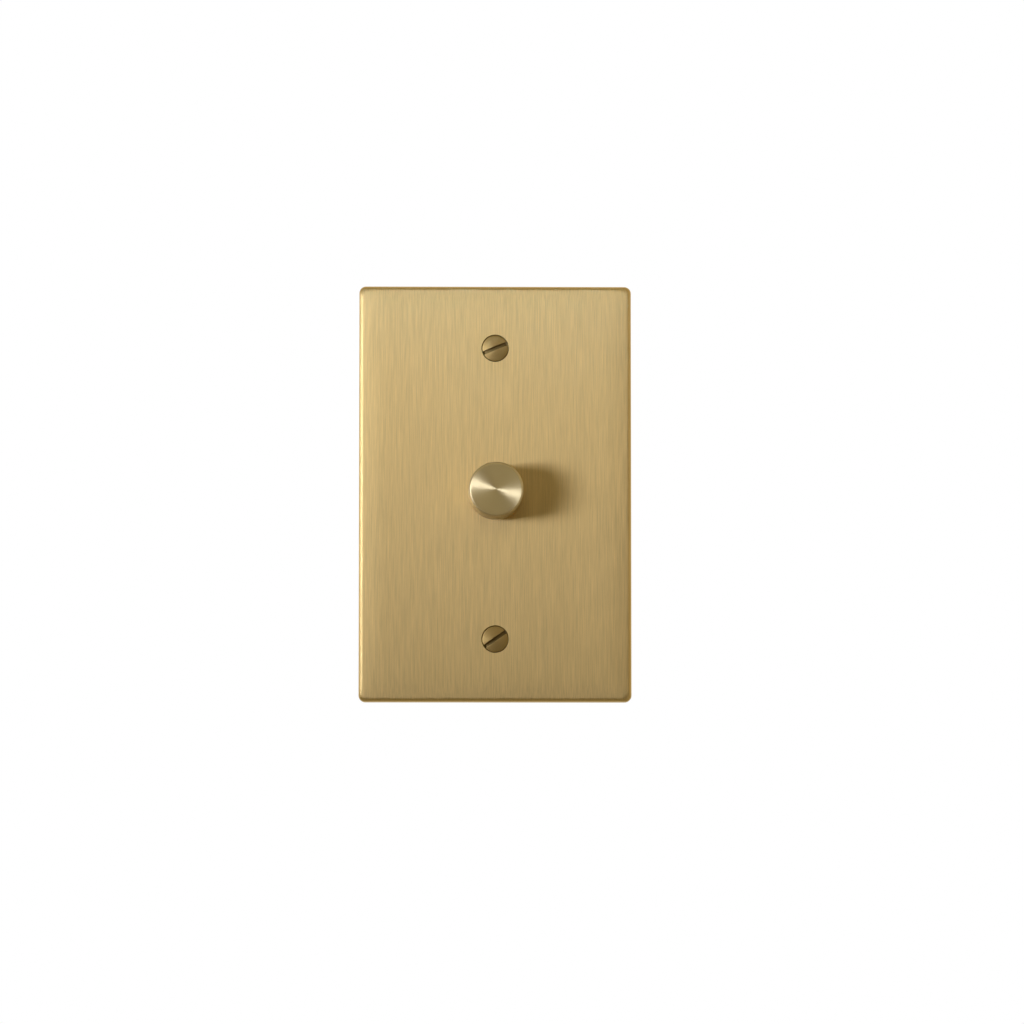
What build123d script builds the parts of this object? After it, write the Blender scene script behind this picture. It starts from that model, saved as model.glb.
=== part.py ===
"""Brass wall plate with a turned knob: a push-on, push-off rotary dimmer switch.

Frame, in millimetres: the wall's surface is the plane Y = 0, the plate's face looks along -Y, the
module sits in the wall box at +Y, +X is to the viewer's right and +Z is up. The origin is on the
knob's axis, midway between the two box screws.
"""
from build123d import *
from math import cos, radians, sin, sqrt, tan
import os

# ---- wall plate ----
PLATE_WIDTH = 77.8
PLATE_HEIGHT = 119.1
PLATE_DEPTH = 4.5
PLATE_SHEET = 2.4
PLATE_RIM = 2.2
PLATE_CORNER = 1.9
PLATE_EDGE_ROUND = 1.25
BOX_SCREW_SPACING = 83.34

# ---- box screws, number 6 raised countersunk, slotted ----
SCREW_THREAD_R = 1.75
SCREW_NECK_R = 1.4
SCREW_NECK_LENGTH = 0.5
SCREW_HEAD_R = 3.68
SCREW_HEAD_RISE = 0.85
SCREW_HEAD_LAND = 0.12
SCREW_LENGTH = 25.0
SCREW_CONE_ANGLE = 82.0
SCREW_SLOT_WIDTH = 1.05
SCREW_SLOT_DEPTH = 1.25
SCREW_SLOT_ANGLES = (35.3, 22.4)
SCREW_POINT = 0.5
COUNTERSINK_R = 3.9
SCREW_HOLE_R = 2.0
SEAT_GAP = 0.04

# ---- insulating liner ----
LINER_THICKNESS = 0.5
LINER_EDGE_GAP = 0.4
LINER_SCREW_HOLE_R = 3.7
LINER_GAP = 0.3

# ---- earth terminal on the back of the plate ----
EARTH_X = 14.0
EARTH_GAP = 0.5
EARTH_BOSS_R = 3.4
EARTH_BOSS_HEIGHT = 4.2
EARTH_THREAD_R = 1.7
EARTH_HEAD_R = 3.3
EARTH_HEAD_HEIGHT = 2.0
EARTH_WASHER_R = 3.9
EARTH_WASHER_THICKNESS = 0.6

# ---- knob ----
KNOB_DIAMETER = 15.5
KNOB_LENGTH = 13.2
KNOB_GAP = 2.2
KNOB_FACE = 1.7
KNOB_EDGE = 0.45
KNOB_BACK_EDGE = 0.3
PUSH_TRAVEL = 1.8
INSERT_WALL = 1.6
INSERT_END_GAP = 0.1
SHAFT_END_GAP = 1.0

# ---- shaft ----
SHAFT_R = 3.0
SHAFT_FLAT_DEPTH = 1.5
SHAFT_TIP = 0.4
SHAFT_RUNNING_GAP = 0.03
SHAFT_D_GAP = 0.05
CLIP_GROOVE_DEPTH = 0.7
CLIP_REACH = 1.5
CLIP_THICKNESS = 0.6
CLIP_GAP = 0.04
LEAF_THICKNESS = 0.35
LEAF_WIDTH = 3.4
LEAF_LIP = 0.8

# ---- mounting bush, washer and nut ----
BUSH_WALL = 0.97
BUSH_FLANGE = 3.0
BUSH_NOSE_CHAMFER = 0.4
BUSH_HOLE_GAP = 0.1
NUT_WALL = 1.0
NUT_THICKNESS = 1.8
NUT_GAP = 0.02
WASHER_RING = 1.9
WASHER_THICKNESS = 0.6
WASHER_TEETH = 8
RECESS_GAP = 0.35

# ---- heat sink ----
HEAT_SINK_WIDTH = 46.4
HEAT_SINK_OVERHANG = 3.0
HEAT_SINK_SHEET = 1.5
HEAT_SINK_FLANGE = 9.5
HEAT_SINK_BEND = 1.4
HEAT_SINK_SLOTS = 5
PEG_R = 1.2
PEG_LENGTH = 1.0
PEG_Z = -14.0
PEG_GAP = 0.1

# ---- moulded housing ----
HOUSING_HEIGHT = 56.0
HOUSING_WALL = 1.6
HOUSING_CORNER = 2.0
HOUSING_BACK_ROUND = 0.9
HOUSING_SIDE_GAP = 0.2
HOUSING_REAR_DEPTH = 11.4
COLUMN_R = 2.7
COLUMN_MERGE = 0.5
HOUSING_SCREW_R = 1.25
HOUSING_SCREW_GAP = 0.2
HOUSING_SCREW_HEAD_R = 2.3
HOUSING_SCREW_HEAD_HEIGHT = 1.3
HOUSING_SCREW_TIP_GAP = 0.2
VENT_COUNT = 6
VENT_WIDTH = 1.4
VENT_PITCH = 3.2
VENT_LENGTH = 9.0
LABEL_WIDTH = 24.0
LABEL_HEIGHT = 10.0
LABEL_Z = 1.5
LABEL_THICKNESS = 0.2
LABEL_POCKET = 0.3
LABEL_GAP = 0.25

# ---- circuit board ----
BOARD_THICKNESS = 1.6
BOARD_EDGE_GAP = 0.2
BOARD_HOLE_GAP = 0.35

# ---- potentiometer ----
POT_CLEARANCE = 1.25
POT_DEPTH = 5.8
POT_R = 10.4
POT_WALL = 1.2
POT_FRONT_WALL = 1.0
POT_GAP = 0.15
ROTOR_THICKNESS = 1.6
ROTOR_HUB_WALL = 1.4
ROTOR_R = 7.2
LUG_SPAN = 26.0
STOP_SPAN = 60.0
TRACK_THICKNESS = 1.0
WIPER_THICKNESS = 0.25
WIPER_FINGER = 0.9

# ---- push switch ----
SWITCH_WIDTH = 17.0
SWITCH_HEIGHT = 15.0
SWITCH_DEPTH = 7.4
SWITCH_WALL = 1.2
SLIDER_WIDTH = 9.0
SLIDER_HEIGHT = 7.0
SLIDER_DEPTH = 2.4
SLIDER_BOSS_R = 2.5
SLIDER_GAP = 0.3
TOUCH_GAP = 0.05
BRIDGE_WIDTH = 13.4
BRIDGE_HEIGHT = 5.0
BRIDGE_THICKNESS = 0.5
CONTACT_X = 5.4
CONTACT_R = 1.1
CONTACT_HEIGHT = 0.5
SPRING_R = 1.9
SPRING_WIRE_R = 0.2
SPRING_TURNS = 5
SPRING_POCKET = 1.5
SPRING_POCKET_R = 2.35

# ---- power transistors ----
TRANSISTOR_X = 8.0
TRANSISTOR_WIDTH = 10.0
TAB_LENGTH = 15.5
TAB_THICKNESS = 1.3
TAB_HOLE_OFFSET = 2.7
TAB_START_GAP = 1.5
TRANSISTOR_BODY_LENGTH = 9.0
TRANSISTOR_BODY_THICKNESS = 3.0
LEAD_PITCH = 2.54
LEAD_WIDTH = 0.8
LEAD_THICKNESS = 0.5
LEAD_RUN = 1.5
PAD_THICKNESS = 0.4
PAD_MARGIN = 0.3
WINDOW_MARGIN = 0.3
TAB_SCREW_R = 1.45
TAB_SCREW_HEAD_R = 2.6
TAB_SCREW_HEAD_HEIGHT = 1.8
TAB_SCREW_GAP = 0.05

# ---- other components ----
CHOKE_X = -11.4
CHOKE_END_GAP = 4.4
CHOKE_CORE_R = 6.0
CHOKE_CORE_HOLE_R = 3.2
CHOKE_CORE_DEPTH = 4.6
CHOKE_WIRE = 0.9
CHOKE_WINDING_SPAN = 140.0
FILM_X = 9.4
FILM_END_GAP = 6.6
FILM_WIDTH = 12.0
FILM_HEIGHT = 6.4
FILM_DEPTH = 8.6
CAN_X = -15.2
CAN_Z = 2.0
CAN_R = 3.2
CAN_DEPTH = 8.2
RESISTOR_X = (14.0, 17.4)
RESISTOR_Z = -1.5
RESISTOR_R = 1.2
RESISTOR_LENGTH = 6.3
CHIP_Z = 17.0
CHIP_WIDTH = 8.7
CHIP_HEIGHT = 3.9
CHIP_DEPTH = 1.5
CHIP_PINS = 7
CHIP_PIN_PITCH = 1.27
CHIP_PIN_WIDTH = 0.42
CHIP_PIN_REACH = 1.0

# ---- wire terminals ----
TERMINAL_COUNT = 2
TERMINAL_PITCH = 12.0
CAGE_WIDTH = 6.6
CAGE_DEPTH = 7.0
CAGE_LENGTH = 8.0
CAGE_LEG = 0.6
CAGE_WALL_GAP = 1.0
WIRE_R = 2.0
WIRE_ENTRY_R = 2.35
WIRE_SCREW_R = 1.5
WIRE_SCREW_HEAD_R = 2.4
WIRE_SCREW_HEAD_HEIGHT = 1.5
WIRE_SCREW_LIFT = 0.25
WELL_R = 2.8

# ---- radii that grow with the shaft ----
INSERT_R = SHAFT_R + INSERT_WALL
SHAFT_FLAT = SHAFT_R - SHAFT_FLAT_DEPTH
CLIP_GROOVE_R = SHAFT_R - CLIP_GROOVE_DEPTH
CLIP_R = SHAFT_R + CLIP_REACH
BUSH_BORE_R = SHAFT_R + SHAFT_RUNNING_GAP
BUSH_THREAD_R = BUSH_BORE_R + BUSH_WALL
BUSH_FLANGE_R = BUSH_THREAD_R + BUSH_FLANGE
BUSH_HOLE_R = BUSH_THREAD_R + BUSH_HOLE_GAP
NUT_FLATS = 2 * (BUSH_THREAD_R + NUT_WALL)
WASHER_R = BUSH_THREAD_R + WASHER_RING
ROTOR_HUB_R = SHAFT_R + ROTOR_HUB_WALL

# ---- planes along Y, from the front to the back ----
WALL = 0.0
PLATE_FRONT = WALL - PLATE_DEPTH
PLATE_FLOOR = PLATE_FRONT + PLATE_SHEET
WEB_FRONT = PLATE_FLOOR + LINER_THICKNESS
WEB_BACK = WEB_FRONT + HEAT_SINK_SHEET
FLANGE_BACK = WEB_BACK + HOUSING_WALL
CLIP_FRONT = FLANGE_BACK + CLIP_GAP
CLIP_BACK = CLIP_FRONT + CLIP_THICKNESS
POT_FRONT = CLIP_BACK + PUSH_TRAVEL + POT_CLEARANCE
BOARD_FRONT = POT_FRONT + POT_DEPTH
BOARD_BACK = BOARD_FRONT + BOARD_THICKNESS
HOUSING_BACK = BOARD_BACK + HOUSING_REAR_DEPTH
KNOB_BACK = PLATE_FRONT - KNOB_GAP
KNOB_FRONT = KNOB_BACK - KNOB_LENGTH
NUT_FRONT = PLATE_FRONT - WASHER_THICKNESS - NUT_THICKNESS
BUSH_NOSE = NUT_FRONT - BUSH_NOSE_CHAMFER
RECESS_FLOOR = BUSH_NOSE - PUSH_TRAVEL - RECESS_GAP
INSERT_FRONT = KNOB_FRONT + KNOB_FACE
SHAFT_FRONT = INSERT_FRONT + SHAFT_END_GAP
SHAFT_BACK = BOARD_FRONT + TOUCH_GAP
SLIDER_FRONT = BOARD_BACK + SLIDER_GAP
SLIDER_BACK = SLIDER_FRONT + SLIDER_DEPTH
SWITCH_FLOOR = BOARD_BACK + SWITCH_DEPTH - SWITCH_WALL

# ---- sizes that follow from the ones above ----
NUT_CORNER_R = NUT_FLATS / 2 / cos(radians(30))
RECESS_R = max(NUT_CORNER_R, WASHER_R) + RECESS_GAP
HEAT_SINK_HEIGHT = HOUSING_HEIGHT + 2 * HEAT_SINK_OVERHANG
EARTH_Z = HEAT_SINK_HEIGHT / 2 + EARTH_GAP + EARTH_WASHER_R
HOUSING_WIDTH = HEAT_SINK_WIDTH - 2 * (HEAT_SINK_SHEET + HOUSING_SIDE_GAP)
COLUMN_X = HOUSING_WIDTH / 2 - HOUSING_WALL - COLUMN_R + COLUMN_MERGE
COLUMN_Z = HOUSING_HEIGHT / 2 - HOUSING_WALL - COLUMN_R + COLUMN_MERGE
COLUMNS = [(x, z) for x in (-COLUMN_X, COLUMN_X) for z in (-COLUMN_Z, COLUMN_Z)]
SCREW_PLACES = [(-BOX_SCREW_SPACING / 2, SCREW_SLOT_ANGLES[0]), (BOX_SCREW_SPACING / 2, SCREW_SLOT_ANGLES[1])]
POT_INSIDE_R = POT_R - POT_WALL
ROTOR_FRONT = POT_FRONT + POT_FRONT_WALL + POT_GAP
ROTOR_BACK = ROTOR_FRONT + ROTOR_THICKNESS
TRACK_FRONT = BOARD_FRONT - TRACK_THICKNESS
TAB_Z = BUSH_FLANGE_R + TAB_START_GAP
TAB_HOLE_Z = TAB_Z + TAB_HOLE_OFFSET
PAD_BACK = WEB_BACK + PAD_THICKNESS
TAB_BACK = PAD_BACK + TAB_THICKNESS
INNER_BOTTOM = HOUSING_WALL - HOUSING_HEIGHT / 2
CHOKE_Z = INNER_BOTTOM + CHOKE_END_GAP + CHOKE_CORE_R + CHOKE_WIRE
FILM_Z = INNER_BOTTOM + FILM_END_GAP + FILM_HEIGHT / 2
TERMINAL_XS = [(i - (TERMINAL_COUNT - 1) / 2) * TERMINAL_PITCH for i in range(TERMINAL_COUNT)]
CAGE_FRONT = BOARD_BACK + CAGE_LEG
CAGE_BACK = CAGE_FRONT + CAGE_DEPTH
CAGE_LOW = INNER_BOTTOM + CAGE_WALL_GAP
WIRE_Y = CAGE_FRONT + WIRE_R + (CAGE_DEPTH - 2 * WIRE_R) / 3
TAB_SCREW_PLACES = [(x, TAB_HOLE_Z) for x in (-TRANSISTOR_X, TRANSISTOR_X)]


def rod(radius, y_from, y_to, x=0.0, z=0.0):
    """A cylinder along Y."""
    return Pos(x, (y_from + y_to) / 2, z) * Rot(90, 0, 0) * Cylinder(radius, y_to - y_from)


def ring(outer, inner, y_from, y_to, x=0.0, z=0.0):
    """A tube along Y."""
    return rod(outer, y_from, y_to, x, z) - rod(inner, y_from, y_to, x, z)


def slab(width, height, y_from, y_to, corner=0.0, x=0.0, z=0.0):
    """A plate across Y, with rounded corners if a corner radius is given."""
    outline = RectangleRounded(width, height, corner) if corner else Rectangle(width, height)
    return Pos(x, y_to, z) * Rot(90, 0, 0) * extrude(outline, y_to - y_from)


def block(x_from, x_to, y_from, y_to, z_from, z_to):
    """A box between two corners."""
    size = (x_to - x_from, y_to - y_from, z_to - z_from)
    return Pos((x_from + x_to) / 2, (y_from + y_to) / 2, (z_from + z_to) / 2) * Box(*size)


def turned(*points):
    """A solid of revolution about Y from (radius, y) points that close on themselves."""
    return revolve(make_face(Polyline(*points, close=True)), Axis.Y)


def sector(outer, inner, y_from, y_to, middle, span):
    """A piece of a tube along Y, span degrees wide about the middle angle from +X towards +Z."""
    reach = 2 * outer
    angles = [radians(middle + span * share) for share in (-0.5, -0.25, 0.0, 0.25, 0.5)]
    corners = [(0.0, 0.0)] + [(reach * cos(a), reach * sin(a)) for a in angles]
    wedge = Pos(0, y_to, 0) * Rot(90, 0, 0) * extrude(make_face(Polyline(*corners, close=True)), y_to - y_from)
    return ring(outer, inner, y_from, y_to) & wedge


def d_rod(radius, flat, y_from, y_to):
    """A cylinder along Y with a flat at that height above its axis."""
    return rod(radius, y_from, y_to) - block(-radius, radius, y_from, y_to, flat, 2 * radius)


def group(pieces):
    """Several separate solids as one node."""
    return Compound(children=list(pieces))


# ---------------------------------------------------------------- wall plate


def front_plate():
    plate = slab(PLATE_WIDTH, PLATE_HEIGHT, PLATE_FRONT, WALL, PLATE_CORNER)
    plate = fillet(plate.faces().sort_by(Axis.Y)[0].edges(), min(PLATE_EDGE_ROUND, 0.9 * PLATE_CORNER))
    plate -= slab(PLATE_WIDTH - 2 * PLATE_RIM, PLATE_HEIGHT - 2 * PLATE_RIM, PLATE_FLOOR, WALL, PLATE_CORNER)
    plate -= rod(BUSH_HOLE_R, PLATE_FRONT, PLATE_FLOOR)
    plate -= rod(PEG_R + PEG_GAP, WEB_FRONT - LINER_THICKNESS - PEG_LENGTH, PLATE_FLOOR, z=PEG_Z)
    slope = tan(radians(SCREW_CONE_ANGLE / 2))
    cone_end = PLATE_FRONT + (COUNTERSINK_R - SCREW_HOLE_R) / slope
    hole = turned(
        (0, PLATE_FRONT), (COUNTERSINK_R, PLATE_FRONT), (SCREW_HOLE_R, cone_end),
        (SCREW_HOLE_R, WALL), (0, WALL),
    )
    for z, _ in SCREW_PLACES:
        plate -= Pos(0, 0, z) * hole
    return plate


def plate_screw():
    """One box screw about the Y axis, with its slot along X."""
    slope = tan(radians(SCREW_CONE_ANGLE / 2))
    cone_start = PLATE_FRONT + (COUNTERSINK_R - SEAT_GAP - SCREW_HEAD_R) / slope
    rim = cone_start - SCREW_HEAD_LAND
    top = rim - SCREW_HEAD_RISE
    cone_end = cone_start + (SCREW_HEAD_R - SCREW_NECK_R) / slope
    neck_end = max(cone_end, PLATE_FLOOR) + SCREW_NECK_LENGTH
    thread_start = neck_end + SCREW_THREAD_R - SCREW_NECK_R
    tip = PLATE_FRONT + SCREW_LENGTH
    dome_r = (SCREW_HEAD_R**2 + SCREW_HEAD_RISE**2) / (2 * SCREW_HEAD_RISE)
    half_r = SCREW_HEAD_R / 2
    half_y = top + dome_r - sqrt(dome_r**2 - half_r**2)
    profile = [
        ThreePointArc((0, top), (half_r, half_y), (SCREW_HEAD_R, rim)),
        Polyline(
            (SCREW_HEAD_R, rim), (SCREW_HEAD_R, cone_start), (SCREW_NECK_R, cone_end),
            (SCREW_NECK_R, neck_end), (SCREW_THREAD_R, thread_start),
            (SCREW_THREAD_R, tip - SCREW_POINT), (SCREW_THREAD_R - SCREW_POINT, tip), (0, tip), (0, top),
        ),
    ]
    screw = revolve(make_face(profile), Axis.Y)
    half_slot = SCREW_SLOT_WIDTH / 2
    return screw - block(
        -SCREW_HEAD_R, SCREW_HEAD_R, top, top + SCREW_SLOT_DEPTH, -half_slot, half_slot
    )


def plate_screws():
    # A turn about Y is clockwise from the front, so the slot's angle is taken the other way.
    return group(Pos(0, 0, z) * Rot(0, -angle, 0) * plate_screw() for z, angle in SCREW_PLACES)


def insulating_liner():
    shrink = 2 * (PLATE_RIM + LINER_EDGE_GAP)
    liner = slab(PLATE_WIDTH - shrink, PLATE_HEIGHT - shrink, PLATE_FLOOR, WEB_FRONT, PLATE_CORNER)
    liner -= rod(BUSH_HOLE_R, PLATE_FLOOR, WEB_FRONT)
    liner -= rod(PEG_R + PEG_GAP, PLATE_FLOOR, WEB_FRONT, z=PEG_Z)
    liner -= rod(EARTH_BOSS_R + LINER_GAP, PLATE_FLOOR, WEB_FRONT, EARTH_X, EARTH_Z)
    for z, _ in SCREW_PLACES:
        liner -= rod(LINER_SCREW_HOLE_R, PLATE_FLOOR, WEB_FRONT, z=z)
    return liner


def earth_boss():
    top = PLATE_FLOOR + EARTH_BOSS_HEIGHT
    return ring(EARTH_BOSS_R, EARTH_THREAD_R, PLATE_FLOOR, top, EARTH_X, EARTH_Z)


def earth_washer():
    top = PLATE_FLOOR + EARTH_BOSS_HEIGHT
    return ring(
        EARTH_WASHER_R, EARTH_THREAD_R + TOUCH_GAP, top, top + EARTH_WASHER_THICKNESS, EARTH_X, EARTH_Z
    )


def earth_screw():
    seat = PLATE_FLOOR + EARTH_BOSS_HEIGHT + EARTH_WASHER_THICKNESS
    back = seat + EARTH_HEAD_HEIGHT
    head = rod(EARTH_HEAD_R, seat, back)
    head = fillet(head.faces().sort_by(Axis.Y)[-1].edges(), EARTH_HEAD_HEIGHT / 3)
    half_slot = SCREW_SLOT_WIDTH / 2
    head -= block(-EARTH_HEAD_R, EARTH_HEAD_R, seat + EARTH_HEAD_HEIGHT / 2, back, -half_slot, half_slot)
    shank = rod(EARTH_THREAD_R - NUT_GAP, PLATE_FLOOR + TOUCH_GAP, seat)
    return Pos(EARTH_X, 0, EARTH_Z) * Rot(0, 30, 0) * (head + shank)


# ---------------------------------------------------------------- knob and shaft


def knob():
    radius = KNOB_DIAMETER / 2
    back_edge = min(KNOB_BACK_EDGE, 0.4 * (radius - RECESS_R))
    shell = turned(
        (0, KNOB_FRONT), (radius, KNOB_FRONT), (radius, KNOB_BACK - back_edge),
        (radius - back_edge, KNOB_BACK), (RECESS_R, KNOB_BACK), (RECESS_R, RECESS_FLOOR),
        (INSERT_R, RECESS_FLOOR), (INSERT_R, INSERT_FRONT), (0, INSERT_FRONT),
    )
    return fillet(shell.faces().sort_by(Axis.Y)[0].edges(), KNOB_EDGE)


def leaf_slot():
    """The space between the shaft's flat and the insert that the leaf spring lies in."""
    low = SHAFT_FLAT + SHAFT_D_GAP
    half = LEAF_WIDTH / 2 + SHAFT_D_GAP
    return block(-half, half, SHAFT_FRONT, RECESS_FLOOR, low, low + LEAF_THICKNESS + 2 * SHAFT_D_GAP)


def knob_insert():
    insert = rod(INSERT_R, INSERT_FRONT + INSERT_END_GAP, RECESS_FLOOR)
    insert -= d_rod(
        SHAFT_R + SHAFT_D_GAP, SHAFT_FLAT + SHAFT_D_GAP, SHAFT_FRONT - INSERT_END_GAP, RECESS_FLOOR
    )
    return insert - leaf_slot()


def insert_spring():
    """A flat strip along the shaft's flat, with its end turned out over the insert's mouth."""
    low = SHAFT_FLAT + 1.5 * SHAFT_D_GAP
    half = LEAF_WIDTH / 2
    end = RECESS_FLOOR + LEAF_THICKNESS
    strip = block(-half, half, SHAFT_FRONT + TOUCH_GAP, end, low, low + LEAF_THICKNESS)
    lip = block(-half, half, RECESS_FLOOR, end, low, low + LEAF_THICKNESS + LEAF_LIP)
    return strip + lip


def shaft():
    rod_part = turned(
        (0, SHAFT_FRONT), (SHAFT_R - SHAFT_TIP, SHAFT_FRONT), (SHAFT_R, SHAFT_FRONT + SHAFT_TIP),
        (SHAFT_R, CLIP_FRONT - TOUCH_GAP), (CLIP_GROOVE_R, CLIP_FRONT - TOUCH_GAP),
        (CLIP_GROOVE_R, CLIP_BACK + TOUCH_GAP), (SHAFT_R, CLIP_BACK + TOUCH_GAP),
        (SHAFT_R, SHAFT_BACK - SHAFT_TIP), (SHAFT_R - SHAFT_TIP, SHAFT_BACK), (0, SHAFT_BACK),
    )
    front_flat_end = BUSH_NOSE - PUSH_TRAVEL
    rod_part -= block(-SHAFT_R, SHAFT_R, SHAFT_FRONT, front_flat_end, SHAFT_FLAT, SHAFT_R)
    rear_flat_start = ROTOR_FRONT - PUSH_TRAVEL - TOUCH_GAP
    return rod_part - block(-SHAFT_R, SHAFT_R, rear_flat_start, SHAFT_BACK, SHAFT_FLAT, SHAFT_R)


def shaft_clip():
    clip = ring(CLIP_R, CLIP_GROOVE_R + TOUCH_GAP, CLIP_FRONT, CLIP_BACK)
    mouth = 0.75 * CLIP_GROOVE_R
    clip -= block(-mouth, mouth, CLIP_FRONT, CLIP_BACK, -CLIP_R, 0)
    for side in (-1, 1):
        clip -= rod((CLIP_R - CLIP_GROOVE_R) / 3, CLIP_FRONT, CLIP_BACK, side * 0.75 * CLIP_R, 0.55 * CLIP_R)
    return clip


# ---------------------------------------------------------------- bush, nut and washer


def mounting_bush():
    return turned(
        (BUSH_BORE_R, BUSH_NOSE), (BUSH_THREAD_R - BUSH_NOSE_CHAMFER, BUSH_NOSE), (BUSH_THREAD_R, NUT_FRONT),
        (BUSH_THREAD_R, WEB_BACK), (BUSH_FLANGE_R, WEB_BACK), (BUSH_FLANGE_R, FLANGE_BACK),
        (BUSH_BORE_R, FLANGE_BACK),
    )


def bush_nut():
    back = PLATE_FRONT - WASHER_THICKNESS
    hexagon = extrude(RegularPolygon(NUT_CORNER_R, 6), NUT_THICKNESS)
    nut = Pos(0, back, 0) * Rot(90, 0, 0) * hexagon
    bevel = NUT_CORNER_R - NUT_FLATS / 2
    crown = turned(
        (0, NUT_FRONT), (NUT_FLATS / 2, NUT_FRONT), (NUT_CORNER_R, NUT_FRONT + bevel * tan(radians(30))),
        (NUT_CORNER_R, back), (0, back),
    )
    return (nut & crown) - rod(BUSH_THREAD_R + NUT_GAP, NUT_FRONT, back)


def lock_washer():
    back = PLATE_FRONT
    front = PLATE_FRONT - WASHER_THICKNESS
    washer = ring(WASHER_R, BUSH_THREAD_R + NUT_GAP, front, back)
    notch_end = BUSH_THREAD_R + 0.55 * (WASHER_R - BUSH_THREAD_R)
    gap_span = 0.5 * 360 / WASHER_TEETH
    for tooth in range(WASHER_TEETH):
        washer -= sector(notch_end, BUSH_THREAD_R, front, back, tooth * 360 / WASHER_TEETH, gap_span)
    return washer


# ---------------------------------------------------------------- heat sink and housing


def heat_sink():
    half = HEAT_SINK_WIDTH / 2
    tall = HEAT_SINK_HEIGHT / 2
    back = WEB_BACK + HEAT_SINK_FLANGE
    outside = block(-half, half, WEB_FRONT, back, -tall, tall)
    corners = outside.edges().filter_by(Axis.Z).group_by(Axis.Y)[0]
    outside = fillet(corners, min(HEAT_SINK_BEND, 0.95 * HEAT_SINK_SHEET))
    sink = outside - block(
        HEAT_SINK_SHEET - half, half - HEAT_SINK_SHEET, WEB_BACK, back, -tall, tall
    )
    sink += rod(PEG_R, WEB_FRONT - LINER_THICKNESS - PEG_LENGTH + PEG_GAP, WEB_FRONT, z=PEG_Z)
    sink -= rod(BUSH_HOLE_R, WEB_FRONT, WEB_BACK)
    for x, z in COLUMNS:
        sink -= rod(HOUSING_SCREW_R + NUT_GAP, WEB_FRONT, WEB_BACK, x, z)
    for x, z in TAB_SCREW_PLACES:
        sink -= rod(TAB_SCREW_R + NUT_GAP, WEB_FRONT, WEB_BACK, x, z)
    pitch = HEAT_SINK_HEIGHT / (HEAT_SINK_SLOTS + 1)
    slot_from = WEB_BACK + 0.35 * HEAT_SINK_FLANGE
    slot_to = WEB_BACK + 0.75 * HEAT_SINK_FLANGE
    for i in range(HEAT_SINK_SLOTS):
        middle = (i - (HEAT_SINK_SLOTS - 1) / 2) * pitch
        sink -= block(-half, half, slot_from, slot_to, middle - 0.3 * pitch, middle + 0.3 * pitch)
    return sink


def housing_shell(y_from, y_to):
    return slab(HOUSING_WIDTH, HOUSING_HEIGHT, y_from, y_to, HOUSING_CORNER)


def housing_cavity(y_from, y_to):
    inside = 2 * HOUSING_WALL
    corner = max(HOUSING_CORNER - HOUSING_WALL, 0.4)
    return slab(HOUSING_WIDTH - inside, HOUSING_HEIGHT - inside, y_from, y_to, corner)


def tab_window(margin, y_from, y_to):
    """The area behind both transistors, grown by a margin."""
    half = TRANSISTOR_X + TRANSISTOR_WIDTH / 2 + margin
    return block(-half, half, y_from, y_to, TAB_Z - margin, TAB_Z + TAB_LENGTH + margin)


def housing_front():
    shell = housing_shell(WEB_BACK, BOARD_BACK) - housing_cavity(FLANGE_BACK, BOARD_BACK)
    for x, z in COLUMNS:
        shell += rod(COLUMN_R, WEB_BACK, BOARD_FRONT, x, z) & housing_shell(WEB_BACK, BOARD_BACK)
        shell -= rod(HOUSING_SCREW_R + HOUSING_SCREW_GAP, WEB_BACK, BOARD_FRONT, x, z)
    shell -= rod(BUSH_FLANGE_R + TOUCH_GAP, WEB_BACK, FLANGE_BACK)
    return shell - tab_window(PAD_MARGIN + WINDOW_MARGIN, WEB_BACK, FLANGE_BACK)


def housing_rear():
    shell = housing_shell(BOARD_BACK, HOUSING_BACK)
    shell = fillet(shell.faces().sort_by(Axis.Y)[-1].edges(), min(HOUSING_BACK_ROUND, 0.8 * HOUSING_WALL))
    inner_back = HOUSING_BACK - HOUSING_WALL
    shell -= housing_cavity(BOARD_BACK, inner_back)
    outline = housing_shell(BOARD_BACK, HOUSING_BACK)
    for x, z in COLUMNS:
        shell += rod(COLUMN_R, BOARD_BACK, inner_back, x, z) & outline
        shell -= rod(HOUSING_SCREW_R + HOUSING_SCREW_GAP, BOARD_BACK, HOUSING_BACK, x, z)
        sink = HOUSING_BACK - HOUSING_SCREW_HEAD_HEIGHT
        shell -= rod(HOUSING_SCREW_HEAD_R + HOUSING_SCREW_GAP, sink, HOUSING_BACK, x, z)
    bottom = -HOUSING_HEIGHT / 2
    screw_z = CAGE_LOW + CAGE_LENGTH / 2
    for x in TERMINAL_XS:
        shell -= rod(WELL_R, inner_back, HOUSING_BACK, x, screw_z)
        shell -= Pos(x, WIRE_Y, bottom + HOUSING_WALL / 2) * Cylinder(WIRE_ENTRY_R, HOUSING_WALL)
    vent_top = COLUMN_Z
    for i in range(VENT_COUNT):
        x = (i - (VENT_COUNT - 1) / 2) * VENT_PITCH
        middle = vent_top - VENT_LENGTH / 2
        shell -= slab(VENT_WIDTH, VENT_LENGTH, inner_back, HOUSING_BACK, 0.45 * VENT_WIDTH, x, middle)
    pocket = LABEL_GAP * 2
    return shell - slab(
        LABEL_WIDTH + pocket, LABEL_HEIGHT + pocket, HOUSING_BACK - LABEL_POCKET, HOUSING_BACK, 1.0, 0, LABEL_Z
    )


def rating_label():
    seat = HOUSING_BACK - LABEL_POCKET
    return slab(LABEL_WIDTH, LABEL_HEIGHT, seat, seat + LABEL_THICKNESS, 0.8, 0, LABEL_Z)


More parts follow.
